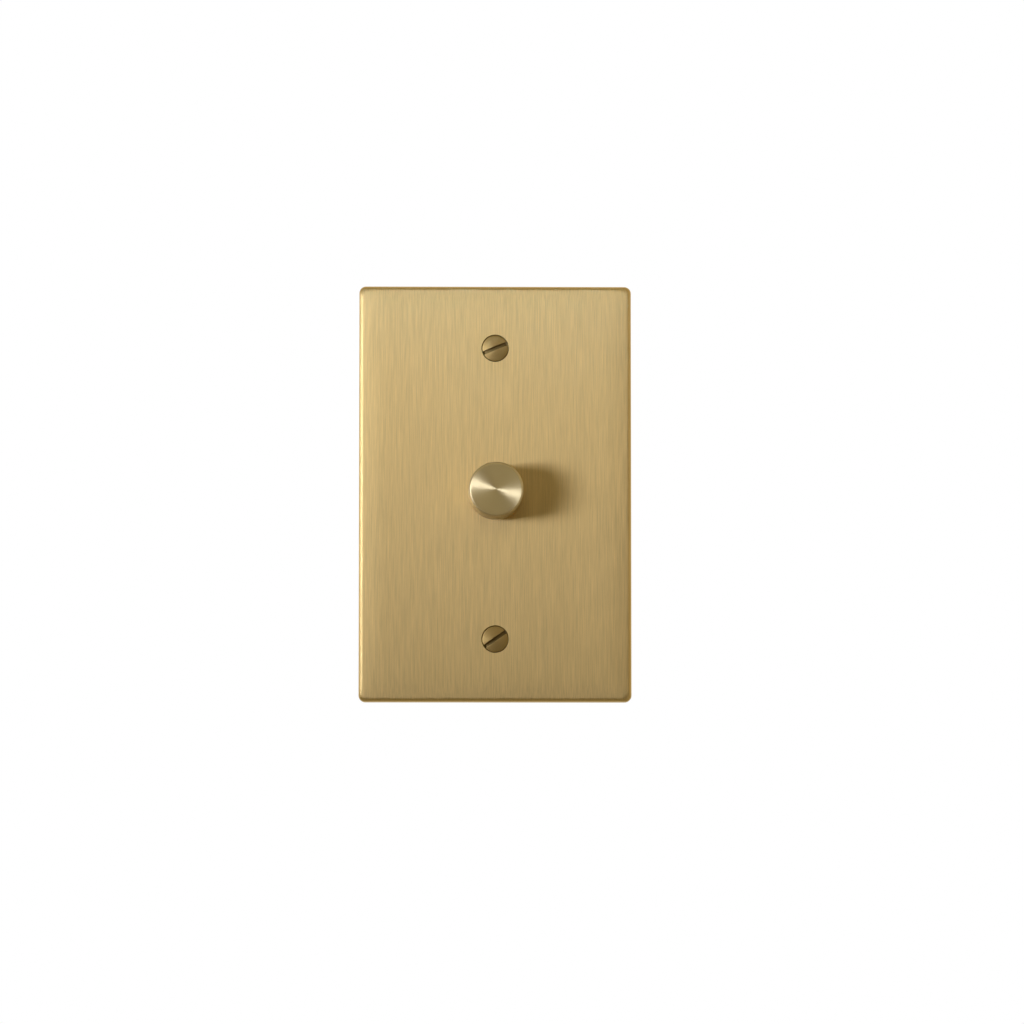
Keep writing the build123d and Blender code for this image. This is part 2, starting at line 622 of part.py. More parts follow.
def cross_screw(radius, head_r, head_height, tip, seat):
    """A cross-recessed pan-head screw about Y with its head at the back."""
    head = rod(head_r, seat, seat + head_height)
    head = fillet(head.faces().sort_by(Axis.Y)[-1].edges(), 0.4 * head_height)
    arm, half = 0.62 * head_r, 0.14 * head_r
    cross = block(-arm, arm, seat + 0.35 * head_height, seat + head_height, -half, half)
    return head + rod(radius, tip, seat) - cross - Rot(0, 90, 0) * cross


def housing_screws():
    seat = HOUSING_BACK - HOUSING_SCREW_HEAD_HEIGHT
    tip = WEB_FRONT + HOUSING_SCREW_TIP_GAP
    screw = cross_screw(
        HOUSING_SCREW_R, HOUSING_SCREW_HEAD_R, HOUSING_SCREW_HEAD_HEIGHT - TOUCH_GAP, tip, seat
    )
    turns = (12, 55, 31, 74)
    return group(Pos(x, 0, z) * Rot(0, turn, 0) * screw for (x, z), turn in zip(COLUMNS, turns))


# ---------------------------------------------------------------- circuit board


def circuit_board():
    shrink = 2 * (HOUSING_WALL + BOARD_EDGE_GAP)
    board = slab(HOUSING_WIDTH - shrink, HOUSING_HEIGHT - shrink, BOARD_FRONT, BOARD_BACK, 0.5)
    for x, z in COLUMNS:
        board -= rod(HOUSING_SCREW_R + BOARD_HOLE_GAP, BOARD_FRONT, BOARD_BACK, x, z)
    return board - rod(max(SLIDER_BOSS_R, SHAFT_R) + BOARD_HOLE_GAP, BOARD_FRONT, BOARD_BACK)


def pot_body():
    body = ring(POT_R, POT_INSIDE_R, POT_FRONT, BOARD_FRONT)
    body += ring(POT_INSIDE_R, SHAFT_R + 2 * POT_GAP, POT_FRONT, POT_FRONT + POT_FRONT_WALL)
    stop_inner = ROTOR_R + POT_GAP
    return body + sector(POT_INSIDE_R, stop_inner, POT_FRONT, ROTOR_BACK, -90, STOP_SPAN)


def pot_track():
    return ring(POT_INSIDE_R - TOUCH_GAP, SHAFT_R + 2 * POT_GAP, TRACK_FRONT, BOARD_FRONT)


def pot_rotor():
    rotor = rod(ROTOR_R, ROTOR_FRONT, ROTOR_BACK)
    rotor += rod(ROTOR_HUB_R, ROTOR_FRONT, TRACK_FRONT - 2 * POT_GAP)
    rotor += sector(POT_INSIDE_R - POT_GAP, ROTOR_HUB_R, ROTOR_FRONT, ROTOR_BACK, 90, LUG_SPAN)
    return rotor - d_rod(SHAFT_R + SHAFT_D_GAP, SHAFT_FLAT + SHAFT_D_GAP, ROTOR_FRONT, TRACK_FRONT)


def pot_wiper():
    """A spring strip on the rotor's back, with two fingers that reach the track."""
    outer = ROTOR_R - POT_GAP
    wiper = sector(outer, ROTOR_HUB_R + TOUCH_GAP, ROTOR_BACK, ROTOR_BACK + WIPER_THICKNESS, -90, 110)
    half = WIPER_FINGER / 2
    for x in (-ROTOR_R / 2, ROTOR_R / 2):
        top = -sqrt(ROTOR_HUB_R**2 - 0.5 * ROTOR_HUB_R**2) - WIPER_FINGER
        wiper += block(
            x - half, x + half, ROTOR_BACK + WIPER_THICKNESS, TRACK_FRONT - TOUCH_GAP, top - half, top + half
        )
    return wiper


# ---------------------------------------------------------------- push switch


def switch_body():
    half_x, half_z = SWITCH_WIDTH / 2, SWITCH_HEIGHT / 2
    back = BOARD_BACK + SWITCH_DEPTH
    body = block(-half_x, half_x, BOARD_BACK, back, -half_z, half_z)
    body -= block(
        SWITCH_WALL - half_x, half_x - SWITCH_WALL, BOARD_BACK, SWITCH_FLOOR,
        SWITCH_WALL - half_z, half_z - SWITCH_WALL,
    )
    guide = SLIDER_HEIGHT / 2 + SLIDER_GAP / 2
    for side in (-1, 1):
        low, high = sorted((side * guide, side * (half_z - SWITCH_WALL)))
        body += block(-SLIDER_WIDTH / 3, SLIDER_WIDTH / 3, BOARD_BACK, SWITCH_FLOOR, low, high)
    pip_r = SPRING_R - SPRING_WIRE_R - TOUCH_GAP
    return body + rod(pip_r, SWITCH_FLOOR - BRIDGE_THICKNESS, SWITCH_FLOOR)


def switch_slider():
    half_x, half_z = SLIDER_WIDTH / 2, SLIDER_HEIGHT / 2
    slider = block(-half_x, half_x, SLIDER_FRONT, SLIDER_BACK, -half_z, half_z)
    slider += rod(SLIDER_BOSS_R, SHAFT_BACK + TOUCH_GAP, SLIDER_FRONT)
    return slider - rod(SPRING_POCKET_R, SLIDER_BACK - SPRING_POCKET, SLIDER_BACK)


def contact_bridge():
    half_x, half_z = BRIDGE_WIDTH / 2, BRIDGE_HEIGHT / 2
    back = SLIDER_BACK + BRIDGE_THICKNESS
    bridge = block(-half_x, half_x, SLIDER_BACK, back, -half_z, half_z) - rod(SPRING_POCKET_R, SLIDER_BACK, back)
    for x in (-CONTACT_X, CONTACT_X):
        bridge += rod(CONTACT_R, back, back + CONTACT_HEIGHT, x)
    return bridge


def fixed_contacts():
    front = SLIDER_BACK + BRIDGE_THICKNESS + CONTACT_HEIGHT + PUSH_TRAVEL + TOUCH_GAP
    return group(rod(CONTACT_R, front, SWITCH_FLOOR, x) for x in (-CONTACT_X, CONTACT_X))


def return_spring():
    start = SLIDER_BACK - SPRING_POCKET + SPRING_WIRE_R + TOUCH_GAP
    length = SWITCH_FLOOR - SPRING_WIRE_R - TOUCH_GAP - start
    path = Helix(length / SPRING_TURNS, length, SPRING_R)
    section = Plane(origin=path @ 0, z_dir=path % 0) * Circle(SPRING_WIRE_R)
    coil = sweep(section, path)
    return Pos(0, start, 0) * Rot(-90, 0, 0) * coil


# ---------------------------------------------------------------- components


def thermal_pad():
    pad = tab_window(PAD_MARGIN, WEB_BACK, PAD_BACK)
    for x, z in TAB_SCREW_PLACES:
        pad -= rod(TAB_SCREW_R + NUT_GAP, WEB_BACK, PAD_BACK, x, z)
    return pad


def transistor_tabs():
    half = TRANSISTOR_WIDTH / 2
    return group(
        block(x - half, x + half, PAD_BACK, TAB_BACK, TAB_Z, TAB_Z + TAB_LENGTH)
        - rod(TAB_SCREW_R + TAB_SCREW_GAP, PAD_BACK, TAB_BACK, x, z)
        for x, z in TAB_SCREW_PLACES
    )


def power_transistors():
    half = TRANSISTOR_WIDTH / 2
    top = TAB_Z + TAB_LENGTH
    bodies = []
    for x, _ in TAB_SCREW_PLACES:
        body = block(
            x - half, x + half, TAB_BACK, TAB_BACK + TRANSISTOR_BODY_THICKNESS, top - TRANSISTOR_BODY_LENGTH, top
        )
        bodies.append(chamfer(body.faces().sort_by(Axis.Y)[-1].edges(), 0.4))
    return group(bodies)


def transistor_leads():
    top = TAB_Z + TAB_LENGTH
    middle = TAB_BACK + TRANSISTOR_BODY_THICKNESS / 2
    leads = []
    for centre, _ in TAB_SCREW_PLACES:
        for i in (-1, 0, 1):
            x = centre + i * LEAD_PITCH
            low, high = x - LEAD_WIDTH / 2, x + LEAD_WIDTH / 2
            run = block(low, high, middle, middle + LEAD_THICKNESS, top, top + LEAD_RUN)
            drop = block(low, high, middle, BOARD_FRONT, top + LEAD_RUN - LEAD_THICKNESS, top + LEAD_RUN)
            leads.append(run + drop)
    return group(leads)


def transistor_screws():
    screw = cross_screw(
        TAB_SCREW_R, TAB_SCREW_HEAD_R, TAB_SCREW_HEAD_HEIGHT, WEB_FRONT + HOUSING_SCREW_TIP_GAP, TAB_BACK
    )
    return group(Pos(x, 0, z) * screw for x, z in TAB_SCREW_PLACES)


def choke_core():
    front = BOARD_FRONT - CHOKE_WIRE - CHOKE_CORE_DEPTH
    return ring(CHOKE_CORE_R, CHOKE_CORE_HOLE_R, front, front + CHOKE_CORE_DEPTH, CHOKE_X, CHOKE_Z)


def choke_winding():
    """Two close-wound halves round the core, with its ends bare between them."""
    front = BOARD_FRONT - 2 * CHOKE_WIRE - CHOKE_CORE_DEPTH
    halves = []
    for middle in (90, -90):
        coil = sector(
            CHOKE_CORE_R + CHOKE_WIRE, CHOKE_CORE_HOLE_R - CHOKE_WIRE, front, BOARD_FRONT, middle,
            CHOKE_WINDING_SPAN,
        )
        halves.append(Pos(CHOKE_X, 0, CHOKE_Z) * coil - choke_core())
    return group(halves)


def film_capacitor():
    case = block(
        FILM_X - FILM_WIDTH / 2, FILM_X + FILM_WIDTH / 2, BOARD_FRONT - FILM_DEPTH, BOARD_FRONT,
        FILM_Z - FILM_HEIGHT / 2, FILM_Z + FILM_HEIGHT / 2,
    )
    return fillet(case.faces().sort_by(Axis.Y)[0].edges(), 0.6)


def electrolytic_capacitor():
    front = BOARD_FRONT - CAN_DEPTH
    neck = BOARD_FRONT - 1.4
    can = turned(
        (0, front), (CAN_R - 0.3, front), (CAN_R, front + 0.3), (CAN_R, neck - 0.4), (CAN_R - 0.3, neck),
        (CAN_R, neck + 0.4), (CAN_R, BOARD_FRONT), (0, BOARD_FRONT),
    )
    return Pos(CAN_X, 0, CAN_Z) * can


def resistors():
    """Axial resistors lying along Z on the board, each a body with a raised collar at both ends."""
    bodies = []
    for x in RESISTOR_X:
        body = Cylinder(0.88 * RESISTOR_R, RESISTOR_LENGTH)
        for end in (-1, 1):
            body += Pos(0, 0, end * 0.36 * RESISTOR_LENGTH) * Cylinder(RESISTOR_R, 0.26 * RESISTOR_LENGTH)
        bodies.append(Pos(x, BOARD_FRONT - RESISTOR_R - TOUCH_GAP, RESISTOR_Z) * body)
    return group(bodies)


def controller_chip():
    stand_off = 0.15
    body = slab(CHIP_WIDTH, CHIP_HEIGHT, BOARD_BACK + stand_off, BOARD_BACK + CHIP_DEPTH, z=CHIP_Z)
    return chamfer(body.faces().sort_by(Axis.Y)[-1].edges(), 0.3)


def controller_pins():
    pins = []
    mid = BOARD_BACK + CHIP_DEPTH / 2
    for i in range(CHIP_PINS):
        x = (i - (CHIP_PINS - 1) / 2) * CHIP_PIN_PITCH
        low, high = x - CHIP_PIN_WIDTH / 2, x + CHIP_PIN_WIDTH / 2
        for side in (-1, 1):
            near = CHIP_Z + side * CHIP_HEIGHT / 2
            bend = near + side * 0.5 * CHIP_PIN_REACH
            far = near + side * CHIP_PIN_REACH
            pin = block(low, high, mid, mid + 0.2, *sorted((near, bend)))
            pin += block(low, high, BOARD_BACK, mid + 0.2, *sorted((bend - side * 0.2, bend)))
            pins.append(pin + block(low, high, BOARD_BACK, BOARD_BACK + 0.2, *sorted((bend, far))))
    return group(pins)


def terminal_cages():
    cages = []
    high = CAGE_LOW + CAGE_LENGTH
    middle = (CAGE_LOW + high) / 2
    for x in TERMINAL_XS:
        cage = block(x - CAGE_WIDTH / 2, x + CAGE_WIDTH / 2, CAGE_FRONT, CAGE_BACK, CAGE_LOW, high)
        cage += block(x - 0.5, x + 0.5, BOARD_BACK, CAGE_FRONT, middle - 1.5, middle + 1.5)
        cage -= Pos(x, WIRE_Y, middle) * Cylinder(WIRE_R, CAGE_LENGTH)
        cages.append(cage - rod(WIRE_SCREW_R + NUT_GAP, WIRE_Y, CAGE_BACK, x, middle))
    return group(cages)


def terminal_screws():
    middle = CAGE_LOW + CAGE_LENGTH / 2
    seat = CAGE_BACK + WIRE_SCREW_LIFT
    tip = WIRE_Y + WIRE_R + WIRE_SCREW_LIFT
    back = seat + WIRE_SCREW_HEAD_HEIGHT
    head = rod(WIRE_SCREW_HEAD_R, seat, back)
    head = chamfer(head.faces().sort_by(Axis.Y)[-1].edges(), 0.25)
    screw = head + rod(WIRE_SCREW_R, tip, seat)
    half = SCREW_SLOT_WIDTH / 2
    screw -= block(-WIRE_SCREW_HEAD_R, WIRE_SCREW_HEAD_R, seat + 0.4 * WIRE_SCREW_HEAD_HEIGHT, back, -half, half)
    turns = (20, 80, -35)
    return group(
        Pos(x, 0, middle) * Rot(0, turns[i % len(turns)], 0) * screw for i, x in enumerate(TERMINAL_XS)
    )


NODES = [
    front_plate, plate_screws, insulating_liner, earth_boss, earth_washer, earth_screw,
    knob, knob_insert, insert_spring, shaft, shaft_clip, mounting_bush, bush_nut, lock_washer,
    heat_sink, housing_front, housing_rear, rating_label, housing_screws, circuit_board,
    pot_body, pot_track, pot_rotor, pot_wiper,
    switch_body, switch_slider, contact_bridge, fixed_contacts, return_spring,
    thermal_pad, transistor_tabs, power_transistors, transistor_leads, transistor_screws,
    choke_core, choke_winding, film_capacitor, electrolytic_capacitor, resistors,
    controller_chip, controller_pins, terminal_cages, terminal_screws,
]

os.makedirs("parts", exist_ok=True)
for make in NODES:
    export_step(make(), f"parts/{make.__name__}.step")
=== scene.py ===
"""Push-and-turn dimmer switch on a brushed brass wall plate, with its module behind it.

Every piece is in metres in the row frame: +Z up, +Y into the wall, the face looks along -Y.
Sizes inside the functions are in millimetres, and MM turns them into metres.
"""
import math

import bmesh
import bpy
from bpy.props import FloatProperty, FloatVectorProperty, IntProperty, PointerProperty
from bpy.types import Operator, Panel, PropertyGroup
from mathutils import Matrix, Vector


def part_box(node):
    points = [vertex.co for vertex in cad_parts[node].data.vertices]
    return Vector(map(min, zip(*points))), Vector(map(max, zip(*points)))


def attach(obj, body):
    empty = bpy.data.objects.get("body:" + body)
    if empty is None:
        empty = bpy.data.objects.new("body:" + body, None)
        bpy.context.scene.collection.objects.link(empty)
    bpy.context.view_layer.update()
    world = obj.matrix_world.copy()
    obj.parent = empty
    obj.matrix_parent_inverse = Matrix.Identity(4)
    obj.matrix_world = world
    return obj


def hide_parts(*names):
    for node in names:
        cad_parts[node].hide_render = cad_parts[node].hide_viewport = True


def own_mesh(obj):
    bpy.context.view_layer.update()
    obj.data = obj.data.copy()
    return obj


bl_info = {
    "name": "Brass dimmer switch",
    "version": (1, 0, 0),
    "blender": (4, 5, 0),
    "location": "View3D > Sidebar > Switch",
    "description": "Builds a brass wall plate with a turned dimmer knob and its module",
    "category": "Object",
}

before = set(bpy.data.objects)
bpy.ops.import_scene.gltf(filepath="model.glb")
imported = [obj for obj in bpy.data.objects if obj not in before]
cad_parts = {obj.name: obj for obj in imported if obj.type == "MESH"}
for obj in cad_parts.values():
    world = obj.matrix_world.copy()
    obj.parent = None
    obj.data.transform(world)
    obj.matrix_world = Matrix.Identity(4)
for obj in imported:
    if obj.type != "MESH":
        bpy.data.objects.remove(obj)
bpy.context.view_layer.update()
MM = 0.001
ROOT = "plate_and_module"
KNOB_BODY = "knob_and_shaft"
PLATE_LOW, PLATE_HIGH = (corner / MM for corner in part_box("front_plate"))
KNOB_LOW, KNOB_HIGH = (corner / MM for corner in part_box("knob"))
SCREW_TIP = (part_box("plate_screws")[1] / MM).y

# Sizes in millimetres that no box in the frame gives.
COUNTERSINK_R = 3.9
SCREW_HOLE_R = 2.0
BUSH_HOLE_R = 4.1
PEG_R, PEG_HEIGHT, PEG_Z = 1.3, 1.0, -14.0
HALF_CONE = math.tan(math.radians(41))
SEAT_GAP = 0.04
HEAD_LAND = 0.12
NECK_R = 1.4
POINT_R, POINT_LENGTH = 1.05, 0.35
THREAD_START, THREAD_ROOT_R, THREAD_CREST_R = -0.75, 1.36, 1.75
KNOB_BORE_R = 4.6
KNOB_FACE = 1.7
CHOKE_HOLE_R = 3.2
CHOKE_SPAN = math.radians(134.0)
SPRING_WIRE = 0.4


# ---- meshes


def new_piece(name, mesh, body, material, nodes=(), centre=(0.0, 0.0, 0.0), sharp=30.0):
    """Links a mesh in millimetres as a piece that rides on a body and stands for its CAD nodes."""
    mesh.transform(Matrix.Scale(MM, 4))
    mesh.shade_smooth()
    mesh.set_sharp_from_angle(angle=math.radians(sharp))
    mesh.materials.append(material)
    piece = bpy.data.objects.new(name, mesh)
    bpy.context.scene.collection.objects.link(piece)
    piece.location = Vector(centre) * MM
    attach(piece, body)
    if nodes:
        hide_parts(*nodes)
    return piece


def mesh_of(name, build):
    """A mesh made by a function that fills a bmesh, with its faces turned outwards."""
    bm = bmesh.new()
    build(bm)
    bmesh.ops.recalc_face_normals(bm, faces=bm.faces)
    mesh = bpy.data.meshes.new(name)
    bm.to_mesh(mesh)
    bm.free()
    return mesh


def rounded_outline(half_x, half_z, corner, steps):
    """Points (x, z) round a rectangle with rounded corners, the same number for every size."""
    points = []
    for quarter, (sx, sz) in enumerate(((1, 1), (-1, 1), (-1, -1), (1, -1))):
        cx, cz = sx * (half_x - corner), sz * (half_z - corner)
        for step in range(steps + 1):
            angle = math.radians(90 * (quarter + step / steps))
            points.append((cx + corner * math.cos(angle), cz + corner * math.sin(angle)))
    return points


def circle_outline(radius, steps, z=0.0):
    """Points (x, z) round a circle whose centre is on the line x = 0."""
    angles = [math.tau * i / steps for i in range(steps)]
    return [(radius * math.cos(a), z + radius * math.sin(a)) for a in angles]


def loop_at(bm, outline, y):
    """New vertices at the (x, z) points of an outline, all at one y."""
    return [bm.verts.new((x, y, z)) for x, z in outline]


def bridge(bm, first, second):
    """Quads between two loops of the same length."""
    count = len(first)
    for i in range(count):
        j = (i + 1) % count
        bm.faces.new((first[i], first[j], second[j], second[i]))


def bridge_all(bm, loops):
    """Quads between each loop and the next."""
    for first, second in zip(loops, loops[1:]):
        bridge(bm, first, second)


def fill_between(bm, outer, holes):
    """Fills the flat region inside one loop and outside the others."""
    edges = []
    for loop in (outer, *holes):
        for first, second in zip(loop, loop[1:] + loop[:1]):
            edges.append(bm.edges.get((first, second)) or bm.edges.new((first, second)))
    bmesh.ops.triangle_fill(bm, use_beauty=True, edges=edges)


def turn_profile(bm, profile, steps):
    """Turns (radius, y) points about Y. A radius of 0 makes a pole."""
    rows = []
    for radius, y in profile:
        if radius == 0:
            rows.append([bm.verts.new((0, y, 0))])
        else:
            rows.append(loop_at(bm, circle_outline(radius, steps), y))
    for first, second in zip(rows, rows[1:]):
        if len(first) == 1 and len(second) == 1:
            continue
        if len(first) == 1 or len(second) == 1:
            pole, ring = (first[0], second) if len(first) == 1 else (second[0], first)
            for i in range(steps):
                bm.faces.new((pole, ring[i], ring[(i + 1) % steps]))
        else:
            bridge(bm, first, second)


def wire_along(bm, points, radius, sides=10):
    """A round wire along a path, with flat ends and no twist."""
    points = [Vector(point) for point in points]
    angles = [math.tau * i / sides for i in range(sides)]
    across = Vector((0.0, 0.1, 1.0))
    rings = []
    for before, here, after in zip(points[:1] + points, points, points[1:] + points[-1:]):
        along = (after - before).normalized()
        across = (across - along * across.dot(along)).normalized()
        other = along.cross(across)
        spokes = [math.cos(angle) * across + math.sin(angle) * other for angle in angles]
        rings.append([bm.verts.new(here + radius * spoke) for spoke in spokes])
    bridge_all(bm, rings)
    bm.faces.new(rings[0])
    bm.faces.new(rings[-1])


def round_corner(points, radius, steps=4):
    """Replaces each inner corner of an open profile with a small arc of chords."""
    out = [points[0]]
    for before, here, after in zip(points, points[1:], points[2:]):
        a, b, c = (Vector(p) for p in (before, here, after))
        to_a, to_c = (a - b), (c - b)
        reach = min(radius, 0.45 * to_a.length, 0.45 * to_c.length)
        start, end = b + to_a.normalized() * reach, b + to_c.normalized() * reach
        for step in range(steps + 1):
            t = step / steps
            out.append(tuple((1 - t) ** 2 * start + 2 * t * (1 - t) * b + t * t * end))
    out.append(points[-1])
    return out


def apply_modifiers(piece):
    """Applies a piece's modifiers to its mesh."""
    bpy.context.view_layer.update()
    done = piece.evaluated_get(bpy.context.evaluated_depsgraph_get())
    mesh = bpy.data.meshes.new_from_object(done)
    piece.modifiers.clear()
    piece.data = mesh


# ---- shared shader groups


def add_node(tree, kind, values=None, **settings):
    """Adds a node. A socket in values is linked, and anything else is the input's value."""
    node = tree.nodes.new(kind)
    for key, value in settings.items():
        setattr(node, key, value)
    for key, value in (values or {}).items():
        if isinstance(value, bpy.types.NodeSocket):
            tree.links.new(value, node.inputs[key])
        else:
            node.inputs[key].default_value = value
    return node


def calc(tree, operation, *values):
    """The result of a math node."""
    node = add_node(tree, "ShaderNodeMath", dict(enumerate(values)), operation=operation)
    return node.outputs[0]


def ramp(tree, value, from_low, from_high, low, high):
    """A value stretched from one range to another, and held at the ends."""
    values = {"Value": value, "From Min": from_low, "From Max": from_high, "To Min": low, "To Max": high}
    return add_node(tree, "ShaderNodeMapRange", values).outputs[0]


def mix_colours(tree, factor, first, second):
    """A mix of two colours, each a socket or three numbers."""
    values = {"Factor": factor}
    for index, colour in ((6, first), (7, second)):
        values[index] = colour if isinstance(colour, bpy.types.NodeSocket) else (*colour, 1.0)
    return add_node(tree, "ShaderNodeMix", values, data_type="RGBA").outputs[2]


def start_group(name, inputs, outputs):
    """An empty node group with float inputs (name: default) and a Vector input first."""
    tree = bpy.data.node_groups.new(name, "ShaderNodeTree")
    tree.interface.new_socket(name="Vector", in_out="INPUT", socket_type="NodeSocketVector")
    for label, default in inputs.items():
        socket = tree.interface.new_socket(name=label, in_out="INPUT", socket_type="NodeSocketFloat")
        socket.default_value = default
    for label in outputs:
        tree.interface.new_socket(name=label, in_out="OUTPUT", socket_type="NodeSocketFloat")
    return tree, tree.nodes.new("NodeGroupInput"), tree.nodes.new("NodeGroupOutput")


def in_mm(tree, vector):
    """A point in millimetres, from one in metres."""
    return add_node(tree, "ShaderNodeVectorMath", {0: vector, "Scale": 1 / MM}, operation="SCALE").outputs[0]


def stretched_noise(tree, point, across, along, detail, rough):
    """Noise with its lines along Z, with so many cells in a millimetre across and along them."""
    scale = add_node(tree, "ShaderNodeCombineXYZ", {"X": across, "Y": across, "Z": along})
    moved = add_node(tree, "ShaderNodeVectorMath", {0: point, 1: scale.outputs[0]}, operation="MULTIPLY")
    noise = add_node(
        tree, "ShaderNodeTexNoise",
        {"Vector": moved.outputs[0], "Scale": 1.0, "Detail": detail, "Roughness": rough},
    )
    return noise.outputs["Fac"]


def hairline_group():
    """Brushed lines along Z: fine ones, and broad pale and dark bands."""
    tree, given, out = start_group("Hairlines", {"Across": 3.0, "Along": 0.03}, ("Fine", "Bands"))
    point = in_mm(tree, given.outputs["Vector"])
    fine = stretched_noise(tree, point, given.outputs["Across"], given.outputs["Along"], 4.0, 0.65)
    wide_across = calc(tree, "MULTIPLY", given.outputs["Across"], 0.22)
    wide_along = calc(tree, "MULTIPLY", given.outputs["Along"], 0.5)
    bands = stretched_noise(tree, point, wide_across, wide_along, 3.0, 0.6)
    tree.links.new(fine, out.inputs["Fine"])
    tree.links.new(bands, out.inputs["Bands"])
    return tree


def turning_group():
    """Rings about the local Y axis, as a lathe tool leaves, on faces and on sides."""
    tree, given, out = start_group("Turning marks", {"Rings": 9.0, "Drift": 0.15}, ("Rings", "Side"))
    point = in_mm(tree, given.outputs["Vector"])
    parts = add_node(tree, "ShaderNodeSeparateXYZ", {0: point})
    flat = add_node(tree, "ShaderNodeCombineXYZ", {"X": parts.outputs["X"], "Z": parts.outputs["Z"]})
    distance = add_node(tree, "ShaderNodeVectorMath", {0: flat.outputs[0]}, operation="LENGTH")
    wander = add_node(tree, "ShaderNodeTexNoise", {"Vector": point, "Scale": 0.5, "Detail": 1.0})
    shift = calc(tree, "MULTIPLY", wander.outputs["Fac"], given.outputs["Drift"])
    for label, place in (("Rings", distance.outputs["Value"]), ("Side", parts.outputs["Y"])):
        moved = calc(tree, "ADD", place, shift)
        line = calc(tree, "MULTIPLY", moved, given.outputs["Rings"])
        noise = add_node(
            tree, "ShaderNodeTexNoise", {"W": line, "Scale": 1.0, "Detail": 3.0, "Roughness": 0.7},
            noise_dimensions="1D",
        )
        tree.links.new(noise.outputs["Fac"], out.inputs[label])
    return tree


def mottle_group():
    """Slow, soft unevenness, as in lacquer, plating or a moulding."""
    tree, given, out = start_group("Soft mottle", {"Size": 8.0}, ("Mottle",))
    point = in_mm(tree, given.outputs["Vector"])
    scale = calc(tree, "DIVIDE", 1.0, given.outputs["Size"])
    noise = add_node(
        tree, "ShaderNodeTexNoise", {"Vector": point, "Scale": scale, "Detail": 4.0, "Roughness": 0.55}
    )
    tree.links.new(noise.outputs["Fac"], out.inputs["Mottle"])
    return tree


def spark_group():
    """The fine pitted texture of a spark-eroded mould."""
    tree, given, out = start_group("Mould texture", {"Size": 0.25}, ("Height", "Speck"))
    point = in_mm(tree, given.outputs["Vector"])
    scale = calc(tree, "DIVIDE", 1.0, given.outputs["Size"])
    cells = add_node(
        tree, "ShaderNodeTexVoronoi", {"Vector": point, "Scale": scale, "Smoothness": 0.6},
        feature="SMOOTH_F1",
    )
    finer = calc(tree, "MULTIPLY", scale, 1.7)
    noise = add_node(tree, "ShaderNodeTexNoise", {"Vector": point, "Scale": finer, "Detail": 3.0})
    pits = calc(tree, "MULTIPLY", cells.outputs["Distance"], 0.6)
    height = calc(tree, "ADD", pits, noise.outputs["Fac"])
    tree.links.new(height, out.inputs["Height"])
    tree.links.new(noise.outputs["Fac"], out.inputs["Speck"])
    return tree


def scuff_group():
    """Sparse fine scratches and dust specks from handling, as a mask."""
    tree, given, out = start_group("Handling marks", {"Amount": 0.3, "Size": 3.0}, ("Mask",))
    point = in_mm(tree, given.outputs["Vector"])
    scale = calc(tree, "DIVIDE", 1.0, given.outputs["Size"])
    bent = add_node(tree, "ShaderNodeTexNoise", {"Vector": point, "Scale": scale, "Detail": 2.0})
    mixed = add_node(
        tree, "ShaderNodeVectorMath", {0: point, 1: bent.outputs["Color"], 2: (4.0, 4.0, 4.0)},
        operation="MULTIPLY_ADD",
    )
    coarser = calc(tree, "MULTIPLY", scale, 0.8)
    lines = add_node(
        tree, "ShaderNodeTexVoronoi", {"Vector": mixed.outputs[0], "Scale": coarser},
        feature="DISTANCE_TO_EDGE",
    )
    thin = ramp(tree, lines.outputs["Distance"], 0.0, 0.02, 1.0, 0.0)
    patchy = ramp(tree, bent.outputs["Fac"], 0.52, 0.7, 0.0, 1.0)
    mask = calc(tree, "MULTIPLY", thin, patchy)
    tree.links.new(calc(tree, "MULTIPLY", mask, given.outputs["Amount"]), out.inputs["Mask"])
    return tree


GROUP_MAKERS = {
    "Hairlines": hairline_group, "Turning marks": turning_group, "Soft mottle": mottle_group,
    "Mould texture": spark_group, "Handling marks": scuff_group,
}


def group_node(tree, name, values):
    """Places a shared group, building it the first time it is asked for."""
    made = bpy.data.node_groups.get(name) or GROUP_MAKERS[name]()
    return add_node(tree, "ShaderNodeGroup", values, node_tree=made)


# ---- finishes


class Finish:
    """A material being put together: its tree, its shader and its object coordinates."""

    def __init__(self, name, roughness, metallic=0.0):
        self.material = bpy.data.materials.new(name)
        self.material.use_nodes = True
        self.tree = self.material.node_tree
        self.shader = self.tree.nodes["Principled BSDF"]
        self.place = add_node(self.tree, "ShaderNodeTexCoord").outputs["Object"]
        self.shader.inputs["Roughness"].default_value = roughness
        self.shader.inputs["Metallic"].default_value = metallic

    def group(self, name, **values):
        """Places a shared group, fed with the object coordinates."""
        return group_node(self.tree, name, {"Vector": self.place, **values})

    def set(self, **values):
        """Sets the shader's own sockets."""
        for key, value in values.items():
            self.shader.inputs[key.replace("_", " ")].default_value = value

    def link(self, source, target):
        """Links a socket to one of the shader's own sockets."""
        self.tree.links.new(source, self.shader.inputs[target])

    def range(self, value, low, high, from_low=0.3, from_high=0.7):
        """Stretches the middle of a noise to go from low to high."""
        return ramp(self.tree, value, from_low, from_high, low, high)

    def blend(self, factor, first, second):
        """A mix of two colours, each a socket or three numbers."""
        return mix_colours(self.tree, factor, first, second)

    def shades(self, noise, colour, dark, pale):
        """Darker and paler shades of one colour, as a noise says."""
        return self.blend(self.range(noise, 0.0, 1.0), tinted(colour, dark), tinted(colour, pale))

    def bump(self, height, distance):
        """Relief from a height, with its depth in millimetres."""
        node = add_node(self.tree, "ShaderNodeBump", {"Height": height, "Distance": distance * MM})
        self.link(node.outputs["Normal"], "Normal")


def tinted(colour, share):
    """A colour made darker or paler, with no channel over 1."""
    return tuple(min(1.0, channel * share) for channel in colour)


